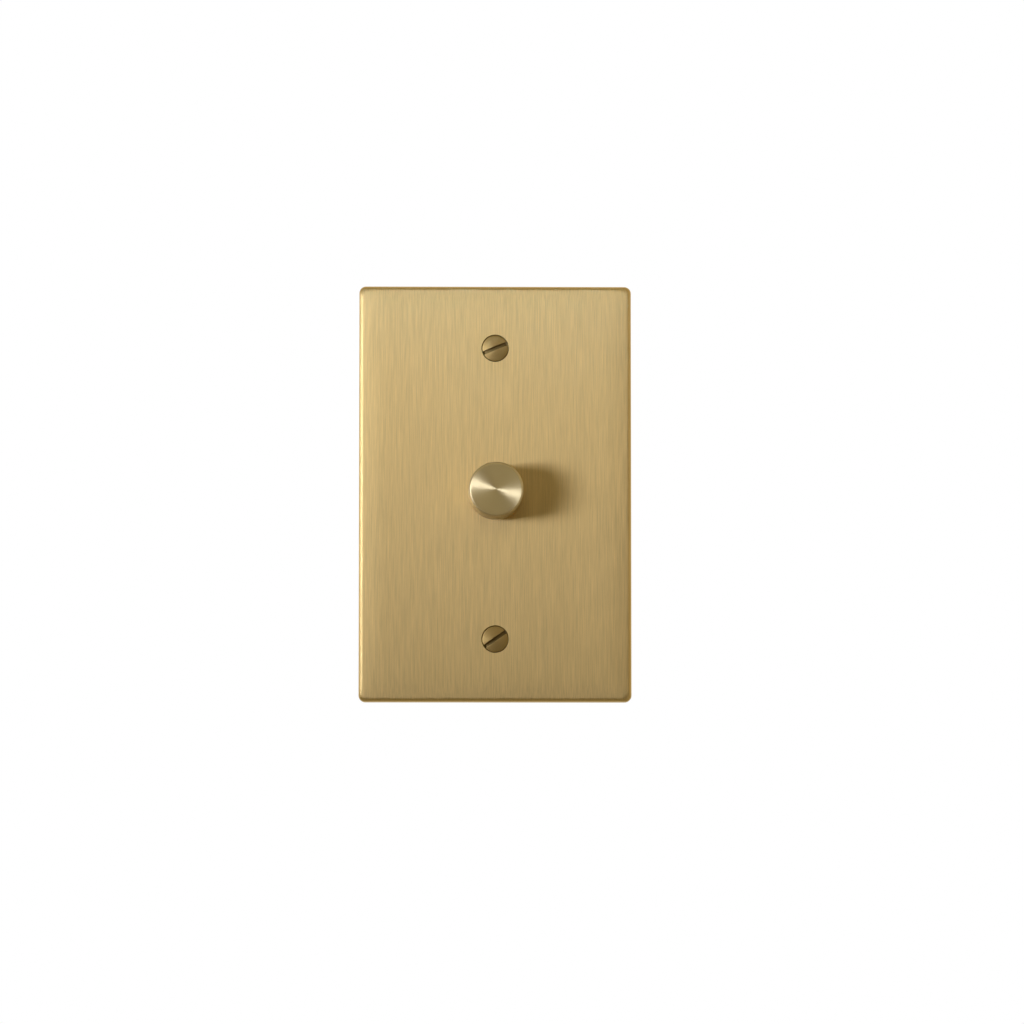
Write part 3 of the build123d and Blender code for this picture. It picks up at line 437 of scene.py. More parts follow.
def brushed_brass(name, colour, roughness, spread):
    """Satin brass with hairlines along Z."""
    f = Finish(name, roughness, metallic=1.0)
    lines = f.group("Hairlines", Across=4.4, Along=0.09)
    mottle = f.group("Soft mottle", Size=22.0)
    body = f.shades(lines.outputs["Fine"], colour, 0.85, 1.13)
    bands = f.range(lines.outputs["Bands"], 0.0, 1.0, 0.35, 0.65)
    warm = (colour[0] * 1.02, colour[1] * 0.97, colour[2] * 0.9)
    body = f.blend(calc(f.tree, "MULTIPLY", bands, 0.08), body, warm)
    f.link(body, "Base Color")
    scratched = f.range(lines.outputs["Fine"], roughness - 0.03, roughness + 0.03)
    uneven = f.range(mottle.outputs["Mottle"], -0.015, 0.015)
    f.link(calc(f.tree, "ADD", scratched, uneven), "Roughness")
    f.bump(lines.outputs["Fine"], 0.003)
    across = add_node(f.tree, "ShaderNodeCombineXYZ", {"X": 1.0})
    f.link(across.outputs[0], "Tangent")
    f.set(Anisotropic=spread)
    return f.material


def turned_metal(name, colour, roughness, spread=0.75, rings=9.0, depth=0.002, side=False, turn=0.25):
    """Metal off a lathe: rings about local Y, and a highlight that opens out from the centre.

    A turn of 0.25 is a quarter, which lays the marks in true rings, and more makes them a spiral.
    """
    f = Finish(name, roughness, metallic=1.0)
    marks = f.group("Turning marks", Rings=rings)
    mottle = f.group("Soft mottle", Size=3.5)
    line = marks.outputs["Side" if side else "Rings"]
    body = f.shades(line, colour, 0.93, 1.05)
    f.link(body, "Base Color")
    scratched = f.range(line, roughness - 0.03, roughness + 0.03)
    uneven = f.range(mottle.outputs["Mottle"], -0.03, 0.03)
    f.link(calc(f.tree, "ADD", scratched, uneven), "Roughness")
    f.bump(line, depth)
    around = add_node(f.tree, "ShaderNodeTangent", direction_type="RADIAL", axis="Y")
    f.link(around.outputs["Tangent"], "Tangent")
    f.set(Anisotropic=spread, Anisotropic_Rotation=turn)
    return f.material


def plated_metal(name, colour, roughness, cloud=0.06, size=1.6):
    """Plated, pressed or cast metal with a slightly cloudy surface and handling marks."""
    f = Finish(name, roughness, metallic=1.0)
    mottle = f.group("Soft mottle", Size=size)
    marks = f.group("Handling marks", Amount=0.6, Size=2.5)
    body = f.shades(mottle.outputs["Mottle"], colour, 0.86, 1.08)
    body = f.blend(marks.outputs["Mask"], body, tinted(colour, 1.25))
    f.link(body, "Base Color")
    f.link(f.range(mottle.outputs["Mottle"], roughness - cloud, roughness + cloud), "Roughness")
    f.bump(mottle.outputs["Mottle"], 0.02)
    return f.material


def rolled_metal(name, colour, roughness, across=2.2, along=0.05):
    """Sheet metal with the faint rolling lines of the mill."""
    f = Finish(name, roughness, metallic=1.0)
    lines = f.group("Hairlines", Across=across, Along=along)
    marks = f.group("Handling marks", Amount=0.8, Size=6.0)
    body = f.shades(lines.outputs["Bands"], colour, 0.88, 1.05)
    body = f.blend(marks.outputs["Mask"], body, tinted(colour, 1.3))
    f.link(body, "Base Color")
    f.link(f.range(lines.outputs["Fine"], roughness - 0.06, roughness + 0.06), "Roughness")
    f.bump(lines.outputs["Fine"], 0.004)
    f.set(Anisotropic=0.35)
    return f.material


def moulded_plastic(name, colour, roughness, size=0.28, depth=0.012, light=1.25):
    """Moulded plastic: pitted texture, small shade changes and a few rubbed lines."""
    f = Finish(name, roughness)
    texture = f.group("Mould texture", Size=size)
    mottle = f.group("Soft mottle", Size=9.0)
    marks = f.group("Handling marks", Amount=0.5, Size=5.0)
    body = f.shades(mottle.outputs["Mottle"], colour, 0.85, light)
    body = f.blend(f.range(texture.outputs["Speck"], 0.0, 0.35), body, tinted(colour, 1.6))
    body = f.blend(marks.outputs["Mask"], body, tinted(colour, 2.2))
    f.link(body, "Base Color")
    f.link(f.range(texture.outputs["Speck"], roughness - 0.08, roughness + 0.08), "Roughness")
    f.bump(texture.outputs["Height"], depth)
    return f.material


def fibre_board(name, colour, roughness):
    """Pressed insulating fibre with short random strands."""
    f = Finish(name, roughness)
    strands = f.group("Hairlines", Across=1.6, Along=0.5)
    texture = f.group("Mould texture", Size=0.5)
    body = f.shades(strands.outputs["Fine"], colour, 0.7, 1.7)
    body = f.blend(f.range(texture.outputs["Speck"], 0.0, 0.4), body, tinted(colour, 2.2))
    f.link(body, "Base Color")
    f.link(f.range(strands.outputs["Bands"], roughness - 0.1, roughness + 0.06), "Roughness")
    f.bump(texture.outputs["Height"], 0.02)
    return f.material


def banded_coat(name, colour, bands, width, roughness=0.4):
    """A dipped coat with colour rings along Z, as on a resistor."""
    f = Finish(name, roughness)
    mottle = f.group("Soft mottle", Size=1.2)
    parts = add_node(f.tree, "ShaderNodeSeparateXYZ", {0: f.place})
    body = f.shades(mottle.outputs["Mottle"], colour, 0.9, 1.1)
    for place, ring in bands:
        away = calc(f.tree, "ABSOLUTE", calc(f.tree, "SUBTRACT", parts.outputs["Z"], place * MM))
        inside = calc(f.tree, "LESS_THAN", away, width * MM / 2)
        body = f.blend(inside, body, ring)
    f.link(body, "Base Color")
    f.bump(mottle.outputs["Mottle"], 0.01)
    return f.material


def soften_edges(shape, width, sharper_than):
    """Rounds the edges that are sharper than an angle in degrees, with a width in millimetres."""
    soften = shape.modifiers.new("Soft edges", "BEVEL")
    soften.width = width * MM
    soften.segments = 2
    soften.limit_method = "ANGLE"
    soften.angle_limit = math.radians(sharper_than)
    return soften


def finish_nodes(finishes, edge=0.0):
    """Gives CAD nodes their materials and, where an edge size is given, softened edges."""
    for node, material in finishes.items():
        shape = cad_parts[node]
        shape.data.materials.clear()
        shape.data.materials.append(material)
        if edge:
            soften_edges(shape, edge, 50).harden_normals = True


# ---- settings


def length_setting(name, text, default, low=0.0):
    """A length, given in millimetres and kept in metres."""
    return FloatProperty(
        name=name, description=text, default=default * MM, min=low * MM,
        subtype="DISTANCE", unit="LENGTH", precision=5,
    )


def angle_setting(name, text, default):
    """An angle, given in degrees and kept in radians."""
    return FloatProperty(
        name=name, description=text, default=math.radians(default), subtype="ANGLE", unit="ROTATION",
    )


def colour_setting(name, text, default):
    """A colour with three channels from 0 to 1."""
    return FloatVectorProperty(
        name=name, description=text, default=default, size=3, min=0.0, max=1.0, subtype="COLOR",
    )


def share_setting(name, text, default):
    """A number from 0 to 1."""
    return FloatProperty(name=name, description=text, default=default, min=0.0, max=1.0)


def power_setting(name, text, default):
    """The power of a light, in watts."""
    return FloatProperty(name=name, description=text, default=default, min=0.0, unit="POWER")


def brightness_setting(name, text, default):
    """The strength of a part of the studio."""
    return FloatProperty(name=name, description=text, default=default, min=0.0)


def turns_setting(name, text, default, most):
    """A number of turns of wire."""
    return IntProperty(name=name, description=text, default=default, min=3, max=most)


class PlateSettings(PropertyGroup):
    sheet: length_setting("Face thickness", "Thickness of the plate between its face and its pocket", 2.4)
    rim: length_setting("Rim width", "Width of the rim that meets the wall", 2.2)
    corner: length_setting("Corner radius", "Radius of the plate's corners at its outline", 1.9)
    edge_round: length_setting("Edge round", "Radius of the front edge", 1.25)
    crown_width: length_setting("Crown width", "How far in from the edge the face starts to fall away", 6.4)
    crown_drop: length_setting("Crown drop", "How far the face has fallen where the edge round starts", 0.22)
    screw_spacing: length_setting("Screw spacing", "Distance between the two box screws", 83.34)
    # cut_shade darkens the brass in the holes: painted shade.
    cut_shade: share_setting("Cut shade", "How bright the holes are beside the face", 0.35)
    brass: colour_setting("Brass", "Base colour of the brushed brass", (0.81, 0.61, 0.265))
    roughness: share_setting("Roughness", "Roughness of the brushed face", 0.52)
    spread: share_setting("Brush spread", "How far the brushing stretches a highlight", 0.5)


class ScrewSettings(PropertyGroup):
    head: length_setting("Head radius", "Radius of the raised countersunk head", 3.68)
    rise: length_setting("Dome rise", "Height of the dome over the head's rim", 0.55)
    slot_width: length_setting("Slot width", "Width of the driver slot", 1.05)
    slot_depth: length_setting("Slot depth", "Depth of the slot below the dome's top", 1.15)
    pitch: length_setting("Thread pitch", "Distance between thread crests", 0.794)
    upper_angle: angle_setting("Upper slot", "Slot angle above level", 22.4)
    lower_angle: angle_setting("Lower slot", "Slot angle above level", 35.3)
    # slot_shade darkens the slot's brass: painted shade.
    slot_shade: share_setting("Slot shade", "How bright the slot is beside the head", 0.5)
    brass: colour_setting("Brass", "Base colour of the screws", (0.54, 0.385, 0.145))
    roughness: share_setting("Roughness", "Roughness of the screws", 0.55)


class KnobSettings(PropertyGroup):
    edge: length_setting("Front bevel", "Width of the bevel round the knob's face", 0.45)
    recess: length_setting("Recess radius", "Radius of the hollow over the nut", 6.12)
    recess_depth: length_setting("Recess depth", "Depth of the hollow over the nut", 3.15)
    brass: colour_setting("Brass", "Base colour of the knob", (1.0, 0.826, 0.475))
    # side_shade darkens the knob's side: painted shade.
    side_shade: share_setting("Side shade", "How bright the knob's side is beside its face", 0.7)
    roughness: share_setting("Roughness", "Roughness of the turned face", 0.44)
    spread: share_setting("Turning spread", "How far the turning marks stretch a highlight", 0.86)
    spiral: angle_setting("Spiral", "Angle of the finishing marks to true rings", 23.0)


class ModuleSettings(PropertyGroup):
    case: colour_setting("Case", "Colour of the moulded case", (0.022, 0.022, 0.024))
    sheet: colour_setting("Sheet metal", "Colour of the aluminium heat sink", (0.72, 0.73, 0.74))
    board: colour_setting("Board", "Colour of the circuit board's mask", (0.02, 0.16, 0.06))
    winding_turns: turns_setting("Choke turns", "Turns of wire on each half of the choke", 7, most=7)
    spring_turns: turns_setting("Spring turns", "Turns of the return spring", 5, most=12)


class StageSettings(PropertyGroup):
    key: power_setting("Key light", "Power of the soft light on the left", 0.394)
    key_spread: angle_setting("Key spread", "Angle of the grid on the key light", 32.0)
    feather: length_setting(
        "Feather", "Height above the plate's centre that the key light points at", 122.0, low=-1000.0,
    )
    fill: power_setting("Fill light", "Power of the weak light above the camera", 0.6)
    top: power_setting("Top light", "Power of the narrow cool light on the plate's top", 0.0052)
    top_spread: angle_setting("Top spread", "Angle of the grid on the top light", 8.0)
    front: brightness_setting("Studio front", "Brightness of the studio in front of the face", 0.07)
    side: brightness_setting("Studio side", "Brightness of the studio beside the face", 0.37)
    back: brightness_setting("Studio back", "Brightness added to the studio behind the plate", 0.4)
    distance: length_setting("Camera distance", "Distance from the camera to the plate", 1500.0, low=300.0)
    below: angle_setting("From below", "How far below level the camera stands", 4.6)
    left: angle_setting("From the left", "How far to the left the camera stands", 1.1)
    width: length_setting("View width", "Width of the view at the plate", 292.4, low=50.0)
    floor: length_setting("Floor height", "Height of the floor from the plate's centre", -320.0, low=-2000.0)


# ---- wall plate


def face_depth(inset, s, front):
    """The face's y at a distance in from the outline: flat, then falling away to the edge round."""
    flat_from = s.edge_round / MM + s.crown_width / MM
    if inset >= flat_from:
        return front
    way = (flat_from - inset) / (s.crown_width / MM)
    return front + (s.crown_drop / MM) * way**2


def plate_loops(s, front):
    """Rows of the plate's outside: the inset from the outline, y and the corner radius.

    They go from the face outwards, over the edge and round the rim to the pocket's floor.
    """
    round_r = s.edge_round / MM
    corner = s.corner / MM
    width = s.crown_width / MM
    edge_growth, crown_growth = 1.2, 5.0
    crown_rows, edge_rows = 16, 12
    loops = []
    for i in range(crown_rows + 1):
        inset = round_r + width * (1 - i / crown_rows)
        grown = corner + edge_growth + crown_growth * (inset - round_r) / width
        loops.append((inset, face_depth(inset, s, front), grown))
    drop = s.crown_drop / MM
    slope = math.atan(2 * drop / width)
    for i in range(1, edge_rows + 1):
        turn = slope + (math.pi / 2 - slope) * i / edge_rows
        inset = round_r * (1 - math.sin(turn)) / (1 - math.sin(slope))
        y = front + drop + round_r * (math.cos(slope) - math.cos(turn))
        loops.append((inset, y, corner + edge_growth * inset / round_r))
    mid_side = -1.5
    back_edge, rim_break = 0.18, 0.1
    fillet, fillet_middle = 0.35, 0.1
    rim = s.rim / MM
    floor = front + s.sheet / MM
    side_and_rim = (
        (0.0, mid_side), (0.0, -back_edge), (back_edge, 0.0), (rim - rim_break, 0.0),
        (rim, -rim_break), (rim, floor + fillet),
        (rim + fillet_middle, floor + fillet_middle), (rim + fillet, floor),
    )
    loops += [(inset, y, corner) for inset, y in side_and_rim]
    return loops


def hole(bm, rows, steps, z=0.0):
    """The wall of a round hole from (radius, y) rows. Gives back its first and last loops."""
    walls = [loop_at(bm, circle_outline(radius, steps, z), y) for radius, y in rows]
    bridge_all(bm, walls)
    return walls[0], walls[-1]


def wall_plate_mesh(s):
    """The plate with its countersinks, bush hole, back pocket and locating peg."""
    half_x = (PLATE_HIGH.x - PLATE_LOW.x) / 2
    half_z = (PLATE_HIGH.z - PLATE_LOW.z) / 2
    front = PLATE_LOW.y
    floor = front + s.sheet / MM
    screw_z = s.screw_spacing / MM / 2
    edge_break = 0.06
    sink_top = front + 0.05
    sink_depth = COUNTERSINK_R - SCREW_HOLE_R
    sink_rows = 4

    def build(bm):
        loops = [
            loop_at(bm, rounded_outline(half_x - inset, half_z - inset, grown, 12), y)
            for inset, y, grown in plate_loops(s, front)
        ]
        bridge_all(bm, loops)
        rows = [(COUNTERSINK_R + edge_break, front), (COUNTERSINK_R, sink_top)]
        for i in range(1, sink_rows + 1):
            step = sink_depth * i / sink_rows
            rows.append((COUNTERSINK_R - step, sink_top + step / HALF_CONE))
        rows.append((SCREW_HOLE_R, floor))
        holes = [hole(bm, rows, 96, z) for z in (-screw_z, screw_z)]
        rows = [(BUSH_HOLE_R + edge_break, front), (BUSH_HOLE_R, front + edge_break), (BUSH_HOLE_R, floor)]
        holes.append(hole(bm, rows, 64))
        peg_foot, peg_end = hole(bm, [(PEG_R, floor), (PEG_R, floor - PEG_HEIGHT)], 24, PEG_Z)
        bm.faces.new(peg_end)
        fill_between(bm, loops[0], [first for first, _ in holes])
        fill_between(bm, loops[-1], [last for _, last in holes] + [peg_foot])

    return mesh_of("wall_plate", build)


class SWITCH_OT_wall_plate(Operator):
    """Builds the brass wall plate with its crowned edge, countersinks and back pocket"""

    bl_idname = "switch.wall_plate"
    bl_label = "Wall plate"

    def execute(self, context):
        s = context.scene.switch_plate
        brass = brushed_brass("Brushed brass", s.brass, s.roughness, s.spread)
        plate = new_piece("wall_plate", wall_plate_mesh(s), ROOT, brass, ["front_plate"])
        # The holes get a darker copy of the brass: painted shade in the countersinks, the bush hole and the
        # faces beside them.
        plate.data.materials.append(plated_metal("Hole brass, painted shade", tinted(s.brass, s.cut_shade), 0.5))
        half = s.screw_spacing / 2
        cut_reach, cut_below = 4.15 * MM, 0.03 * MM
        for polygon in plate.data.polygons:
            x, y, z = polygon.center
            reach = min(math.hypot(x, z), math.hypot(x, abs(z) - half))
            if reach < cut_reach and y > PLATE_LOW.y * MM + cut_below:
                polygon.material_index = 1
        return {"FINISHED"}


# ---- box screws


# Edges that are sharper than this many degrees stay sharp on a screw.
SCREW_SHARP = 34.0


def thread_rows(bm, start, end, pitch):
    """A helical V thread from start to end along Y, growing in and dying out over half a turn."""
    root, crest = THREAD_ROOT_R, THREAD_CREST_R
    steps = 40
    half_turn = steps / 2
    filled = 0.98
    total = int(round((end - start) / pitch * steps))
    shape = ((root, 0.0), (crest, 0.42), (crest, 0.58), (root, 1.0))
    rows = []
    for i in range(total + 1):
        angle = math.tau * i / steps
        fade = min(1.0, i / half_turn, (total - i) / half_turn)
        row = []
        for radius, way in shape:
            r = root + (radius - root) * fade
            y = start + pitch * (i / steps + (way - 0.5) * filled)
            row.append(bm.verts.new((r * math.cos(angle), y, r * math.sin(angle))))
        rows.append(row)
    for first, second in zip(rows, rows[1:]):
        for k in range(len(shape) - 1):
            bm.faces.new((first[k], first[k + 1], second[k + 1], second[k]))
    for row in (rows[0], rows[-1]):
        bm.faces.new(row)
    for first, second in zip(rows, rows[1:]):
        bm.faces.new((first[0], second[0], second[-1], first[-1]))


def dome_depth(s, r):
    """How far the dome has fallen from its top at a distance from the screw's axis."""
    head, rise = s.head / MM, s.rise / MM
    dome = (head**2 + rise**2) / (2 * rise)
    return dome - math.sqrt(dome**2 - r**2)


def box_screw_head(s):
    """The head, neck and core of one screw, about local Y, and the y of its dome's top."""
    head = s.head / MM
    cone_start = PLATE_LOW.y + (COUNTERSINK_R - SEAT_GAP - head) / HALF_CONE
    rim = cone_start - HEAD_LAND
    top = rim - s.rise / MM
    dome_steps = 14
    rim_inset, rim_drop = 0.06, 0.05
    profile = [(0, top)]
    for i in range(1, dome_steps + 1):
        r = (head - rim_inset) * i / dome_steps
        profile.append((r, top + dome_depth(s, r)))
    profile += [(head, rim + rim_drop), (head, cone_start)]
    profile += [(NECK_R, cone_start + (head - NECK_R) / HALF_CONE), (NECK_R, SCREW_TIP - POINT_LENGTH)]
    profile += [(POINT_R, SCREW_TIP), (0, SCREW_TIP)]

    def build(bm):
        turn_profile(bm, profile, 96)

    return mesh_of("screw", build), top


def cut_slot(piece, top, s, angle):
    """Cuts the driver slot through the head and breaks its edges."""
    reach, width, depth = 12.0, s.slot_width / MM, s.slot_depth / MM

    def build(bm):
        bmesh.ops.create_cube(bm, size=1.0)
        for v in bm.verts:
            v.co = Vector((v.co.x * reach, v.co.y * 2 * depth, v.co.z * width))

    cutter = bpy.data.objects.new("slot_cutter", mesh_of("slot_cutter", build))
    cutter.data.transform(Matrix.Scale(MM, 4))
    bpy.context.scene.collection.objects.link(cutter)
    in_head = Matrix.Translation((0, top * MM, 0)) @ Matrix.Rotation(-angle, 4, "Y")
    cutter.matrix_world = piece.matrix_world @ in_head
    cut = piece.modifiers.new("Slot", "BOOLEAN")
    cut.operation = "DIFFERENCE"
    cut.solver = "EXACT"
    cut.object = cutter
    soften_edges(piece, 0.045, 38)
    apply_modifiers(piece)
    bpy.data.objects.remove(cutter)
    smooth_screw(piece.data)


def smooth_screw(mesh):
    """Smooth shading with the screw's sharp edges kept."""
    mesh.shade_smooth()
    mesh.set_sharp_from_angle(angle=math.radians(SCREW_SHARP))


def shade_slot(mesh, s, top):
    """Gives the faces that lie below the dome inside the head the slot's darker brass, a painted shade."""
    inside = s.head / MM - 0.02
    below_dome = 0.1
    slot_floor = top + s.slot_depth / MM + 0.05
    for polygon in mesh.polygons:
        x, y, z = polygon.center / MM
        r = math.hypot(x, z)
        if r < inside and top + dome_depth(s, r) + below_dome < y < slot_floor:
            polygon.material_index = 1


def box_screw(name, z, angle, s, materials):
    """One screw at a height, with its slot cut and given painted shade, and its thread added."""
    mesh, top = box_screw_head(s)
    piece = new_piece(name, mesh, ROOT, materials[0], centre=(0, 0, z), sharp=SCREW_SHARP)
    cut_slot(piece, top, s, angle)
    piece.data.materials.append(materials[1])
    shade_slot(piece.data, s, top)
    pitch = s.pitch / MM

    def build(bm):
        bm.from_mesh(piece.data)
        bm.transform(Matrix.Scale(1 / MM, 4))
        thread_rows(bm, THREAD_START + pitch / 2, SCREW_TIP - POINT_LENGTH - pitch / 2, pitch)

    threaded = mesh_of(name, build)
    threaded.transform(Matrix.Scale(MM, 4))
    for material in materials:
        threaded.materials.append(material)
    smooth_screw(threaded)
    piece.data = threaded
    return piece


class SWITCH_OT_box_screws(Operator):
    """Builds the two raised countersunk slotted screws with their threads"""

    bl_idname = "switch.box_screws"
    bl_label = "Box screws"

    def execute(self, context):
        s = context.scene.switch_screws
        half = context.scene.switch_plate.screw_spacing / MM / 2
        brass = turned_metal("Screw brass", s.brass, s.roughness, spread=0.2, rings=7.0, depth=0.002)
        # The slot's darker brass is painted shade.
        slot = plated_metal("Slot brass, painted shade", tinted(s.brass, s.slot_shade), 0.55)
        lower = box_screw("box_screw_lower", -half, s.lower_angle, s, (brass, slot))
        upper = box_screw("box_screw_upper", half, s.upper_angle, s, (brass, slot))
        for screw in (lower, upper):
            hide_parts("plate_screws")
        return {"FINISHED"}


# ---- knob


def knob_mesh(s):
    """The knob with its bevelled face, the hollow over the nut and the bore for the insert."""
    radius = KNOB_HIGH.x
    front, back = KNOB_LOW.y, KNOB_HIGH.y
    edge = s.edge / MM
    recess, floor = s.recess / MM, back - s.recess_depth / MM
    back_edge, recess_edge, bore_edge = 0.3, 0.15, 0.02
    face = [(radius * way, front) for way in (0.02, 0.25, 0.5, 0.75)]
    corners = [
        (radius * 0.85, front), (radius - edge, front), (radius, front + edge),
        (radius, back - back_edge), (radius - back_edge, back),
        (recess + recess_edge, back), (recess, back - recess_edge), (recess, floor),
    ]
    bore = [
        (KNOB_BORE_R + bore_edge, floor), (KNOB_BORE_R, floor + bore_edge),
        (KNOB_BORE_R, front + KNOB_FACE), (0, front + KNOB_FACE),
    ]
    profile = [(0, front), *face, *round_corner(corners, 0.12), *bore]

    def build(bm):
        turn_profile(bm, profile, 192)

    return mesh_of("turned_knob", build)


class SWITCH_OT_knob(Operator):
    """Builds the turned knob and finishes the pieces inside it"""

    bl_idname = "switch.knob"
    bl_label = "Turned knob"

    def execute(self, context):
        s = context.scene.switch_knob
        turn = 0.25 + s.spiral / math.tau
        face = turned_metal(
            "Turned brass face", s.brass, s.roughness, s.spread, rings=10.0, depth=0.0025, turn=turn,
        )
        # The knob's side is a darker copy of the face's brass: painted shade.
        shaded = tinted(s.brass, s.side_shade)
        side = turned_metal("Turned knob side, painted shade", shaded, s.roughness, 0.4, rings=8.0, side=True)
        piece = new_piece("turned_knob", knob_mesh(s), KNOB_BODY, face, ["knob"], sharp=38)
        piece.data.materials.append(side)
        # Faces that do not face forward take the painted shade.
        lies_flat = 0.8
        for polygon in piece.data.polygons:
            polygon.material_index = 0 if abs(polygon.normal.y) > lies_flat else 1
        nylon = moulded_plastic("Natural nylon", (0.72, 0.70, 0.62), 0.45, depth=0.004, light=1.08)
        finish_nodes({
            "knob_insert": nylon,
            "insert_spring": rolled_metal("Spring strip", (0.55, 0.56, 0.58), 0.28),
            "shaft": turned_metal("Turned shaft", (0.62, 0.62, 0.60), 0.3, rings=5.0, side=True),
            "shaft_clip": plated_metal("Black spring steel", (0.06, 0.06, 0.065), 0.35),
        })
        return {"FINISHED"}


# ---- pieces that keep their CAD shape


class SWITCH_OT_fixings(Operator):
    """Finishes the bush, nut, washers, liner and earth terminal"""

    bl_idname = "switch.fixings"
    bl_label = "Fixings and liner"

    def execute(self, context):
        washer = plated_metal("Bright zinc", (0.62, 0.63, 0.64), 0.3)
        finish_nodes({
            "mounting_bush": turned_metal("Bush zinc", (0.58, 0.58, 0.56), 0.34, rings=6.0, side=True),
            "bush_nut": plated_metal("Nut zinc", (0.60, 0.60, 0.58), 0.3),
            "lock_washer": washer,
            "earth_washer": washer,
            "earth_boss": turned_metal("Boss brass", (0.78, 0.60, 0.28), 0.3, rings=5.0, side=True),
            "earth_screw": plated_metal("Green coated steel", (0.015, 0.20, 0.07), 0.32),
            "insulating_liner": fibre_board("Insulating fibre", (0.03, 0.03, 0.032), 0.75),
        })
        return {"FINISHED"}


class SWITCH_OT_module_case(Operator):
    """Finishes the heat sink, the moulded case, its screws and label"""

    bl_idname = "switch.module_case"
    bl_label = "Module case"

    def execute(self, context):
        s = context.scene.switch_module
        case = moulded_plastic("Black moulding", s.case, 0.55)
        finish_nodes({"heat_sink": rolled_metal("Mill aluminium", s.sheet, 0.34)}, edge=0.12)
        finish_nodes({"housing_front": case, "housing_rear": case}, edge=0.2)
        zinc = plated_metal("Yellow zinc", (0.62, 0.56, 0.40), 0.3)
        film = moulded_plastic("Label film", (0.74, 0.74, 0.71), 0.38, size=0.6, depth=0.002, light=1.05)
        finish_nodes({"housing_screws": zinc, "transistor_screws": zinc, "rating_label": film})
        return {"FINISHED"}


def choke_turns(turns):
    """Turns of enamelled wire round each half of the ring core."""
    core_low, core_high = (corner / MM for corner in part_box("choke_core"))
    wound_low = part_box("choke_winding")[0] / MM
    centre = (core_low + core_high) / 2
    wire = core_low.y - wound_low.y
    outer, inner = (core_high.x - core_low.x) / 2, CHOKE_HOLE_R
    half_r, half_y = (outer - inner + wire) / 2, (core_high.y - core_low.y + wire) / 2
    section = rounded_outline(half_r, half_y, wire * 0.7, 4)
    steps = turns * len(section)

    def build(bm):
        for side in (0.0, math.pi):
            path = []
            for i in range(steps + 1):
                r, y = section[i % len(section)]
                angle = side + CHOKE_SPAN * (i / steps - 0.5)
                reach = (outer + inner) / 2 + r
                x, z = reach * math.cos(angle), reach * math.sin(angle)
                path.append((centre.x + x, centre.y + y, centre.z + z))
            wire_along(bm, path, wire * 0.49)

    return mesh_of("choke_turns", build)


def spring_coil(turns):
    """The return spring as a round wire helix between the slider's pocket and the switch floor."""
    low, high = (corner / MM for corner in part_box("return_spring"))
    radius = (high.x - low.x - SPRING_WIRE) / 2
    steps = 28

    def build(bm):
        path = []
        for i in range(turns * steps + 1):
            angle = math.tau * i / steps
            y = low.y + SPRING_WIRE / 2 + (high.y - low.y - SPRING_WIRE) * i / (turns * steps)
            path.append((radius * math.cos(angle), y, radius * math.sin(angle)))
        wire_along(bm, path, SPRING_WIRE / 2)

    return mesh_of("spring_coil", build)


class SWITCH_OT_module_works(Operator):
    """Finishes everything inside the case"""

    bl_idname = "switch.module_works"
    bl_label = "Module works"

    def execute(self, context):
        s = context.scene.switch_module
        epoxy = moulded_plastic("Moulded epoxy", (0.018, 0.018, 0.02), 0.5, size=0.2, depth=0.006)
        tin = plated_metal("Tinned lead", (0.68, 0.68, 0.69), 0.25)
        bands = (
            (1.2, (0.4, 0.08, 0.02)), (0.0, (0.05, 0.05, 0.05)),
            (-1.3, (0.5, 0.2, 0.01)), (-3.4, (0.45, 0.33, 0.08)),
        )
        sleeve = moulded_plastic("Shrunk sleeve", (0.015, 0.02, 0.06), 0.25, depth=0.002)
        finish_nodes({
            "circuit_board": fibre_board("Solder mask", s.board, 0.35),
            "pot_body": plated_metal("Pressed steel", (0.56, 0.57, 0.58), 0.3),
            "pot_track": fibre_board("Carbon track", (0.11, 0.06, 0.03), 0.45),
            "pot_rotor": moulded_plastic("Black acetal", (0.03, 0.03, 0.03), 0.4),
            "pot_wiper": rolled_metal("Phosphor bronze", (0.66, 0.38, 0.17), 0.25),
            "switch_body": moulded_plastic("Cream polyester", (0.52, 0.50, 0.43), 0.42, light=1.1),
            "switch_slider": moulded_plastic("Red acetal", (0.35, 0.02, 0.015), 0.38),
            "contact_bridge": rolled_metal("Contact copper", (0.75, 0.36, 0.20), 0.28),
            "fixed_contacts": plated_metal("Contact silver", (0.82, 0.81, 0.78), 0.2),
            "thermal_pad": fibre_board("Silicone pad", (0.36, 0.38, 0.42), 0.7),
            "transistor_tabs": rolled_metal("Tinned tab", (0.6, 0.6, 0.6), 0.3),
            "power_transistors": epoxy,
            "controller_chip": epoxy,
            "transistor_leads": tin,
            "controller_pins": tin,
            "choke_core": moulded_plastic("Powder core", (0.06, 0.10, 0.07), 0.6),
            "film_capacitor": moulded_plastic("Yellow case", (0.62, 0.36, 0.03), 0.3, depth=0.004),
            "electrolytic_capacitor": sleeve,
            "resistors": banded_coat("Resistor coat", (0.55, 0.40, 0.22), bands, 0.5),
            "terminal_cages": rolled_metal("Cage brass", (0.74, 0.56, 0.27), 0.3),
            "terminal_screws": plated_metal("Terminal zinc", (0.6, 0.6, 0.58), 0.28),
        })
        enamel = rolled_metal("Enamelled wire", (0.48, 0.14, 0.04), 0.3, across=1.1, along=1.1)
        winding = choke_turns(s.winding_turns)
        new_piece("choke_turns", winding, ROOT, enamel, ["choke_winding"])
        wire = turned_metal("Spring wire", (0.6, 0.6, 0.6), 0.28, rings=14.0, side=True)
        helix = spring_coil(s.spring_turns)
        coil = new_piece("spring_coil", helix, ROOT, wire, ["return_spring"])
        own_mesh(coil)
        return {"FINISHED"}


# ---- stage


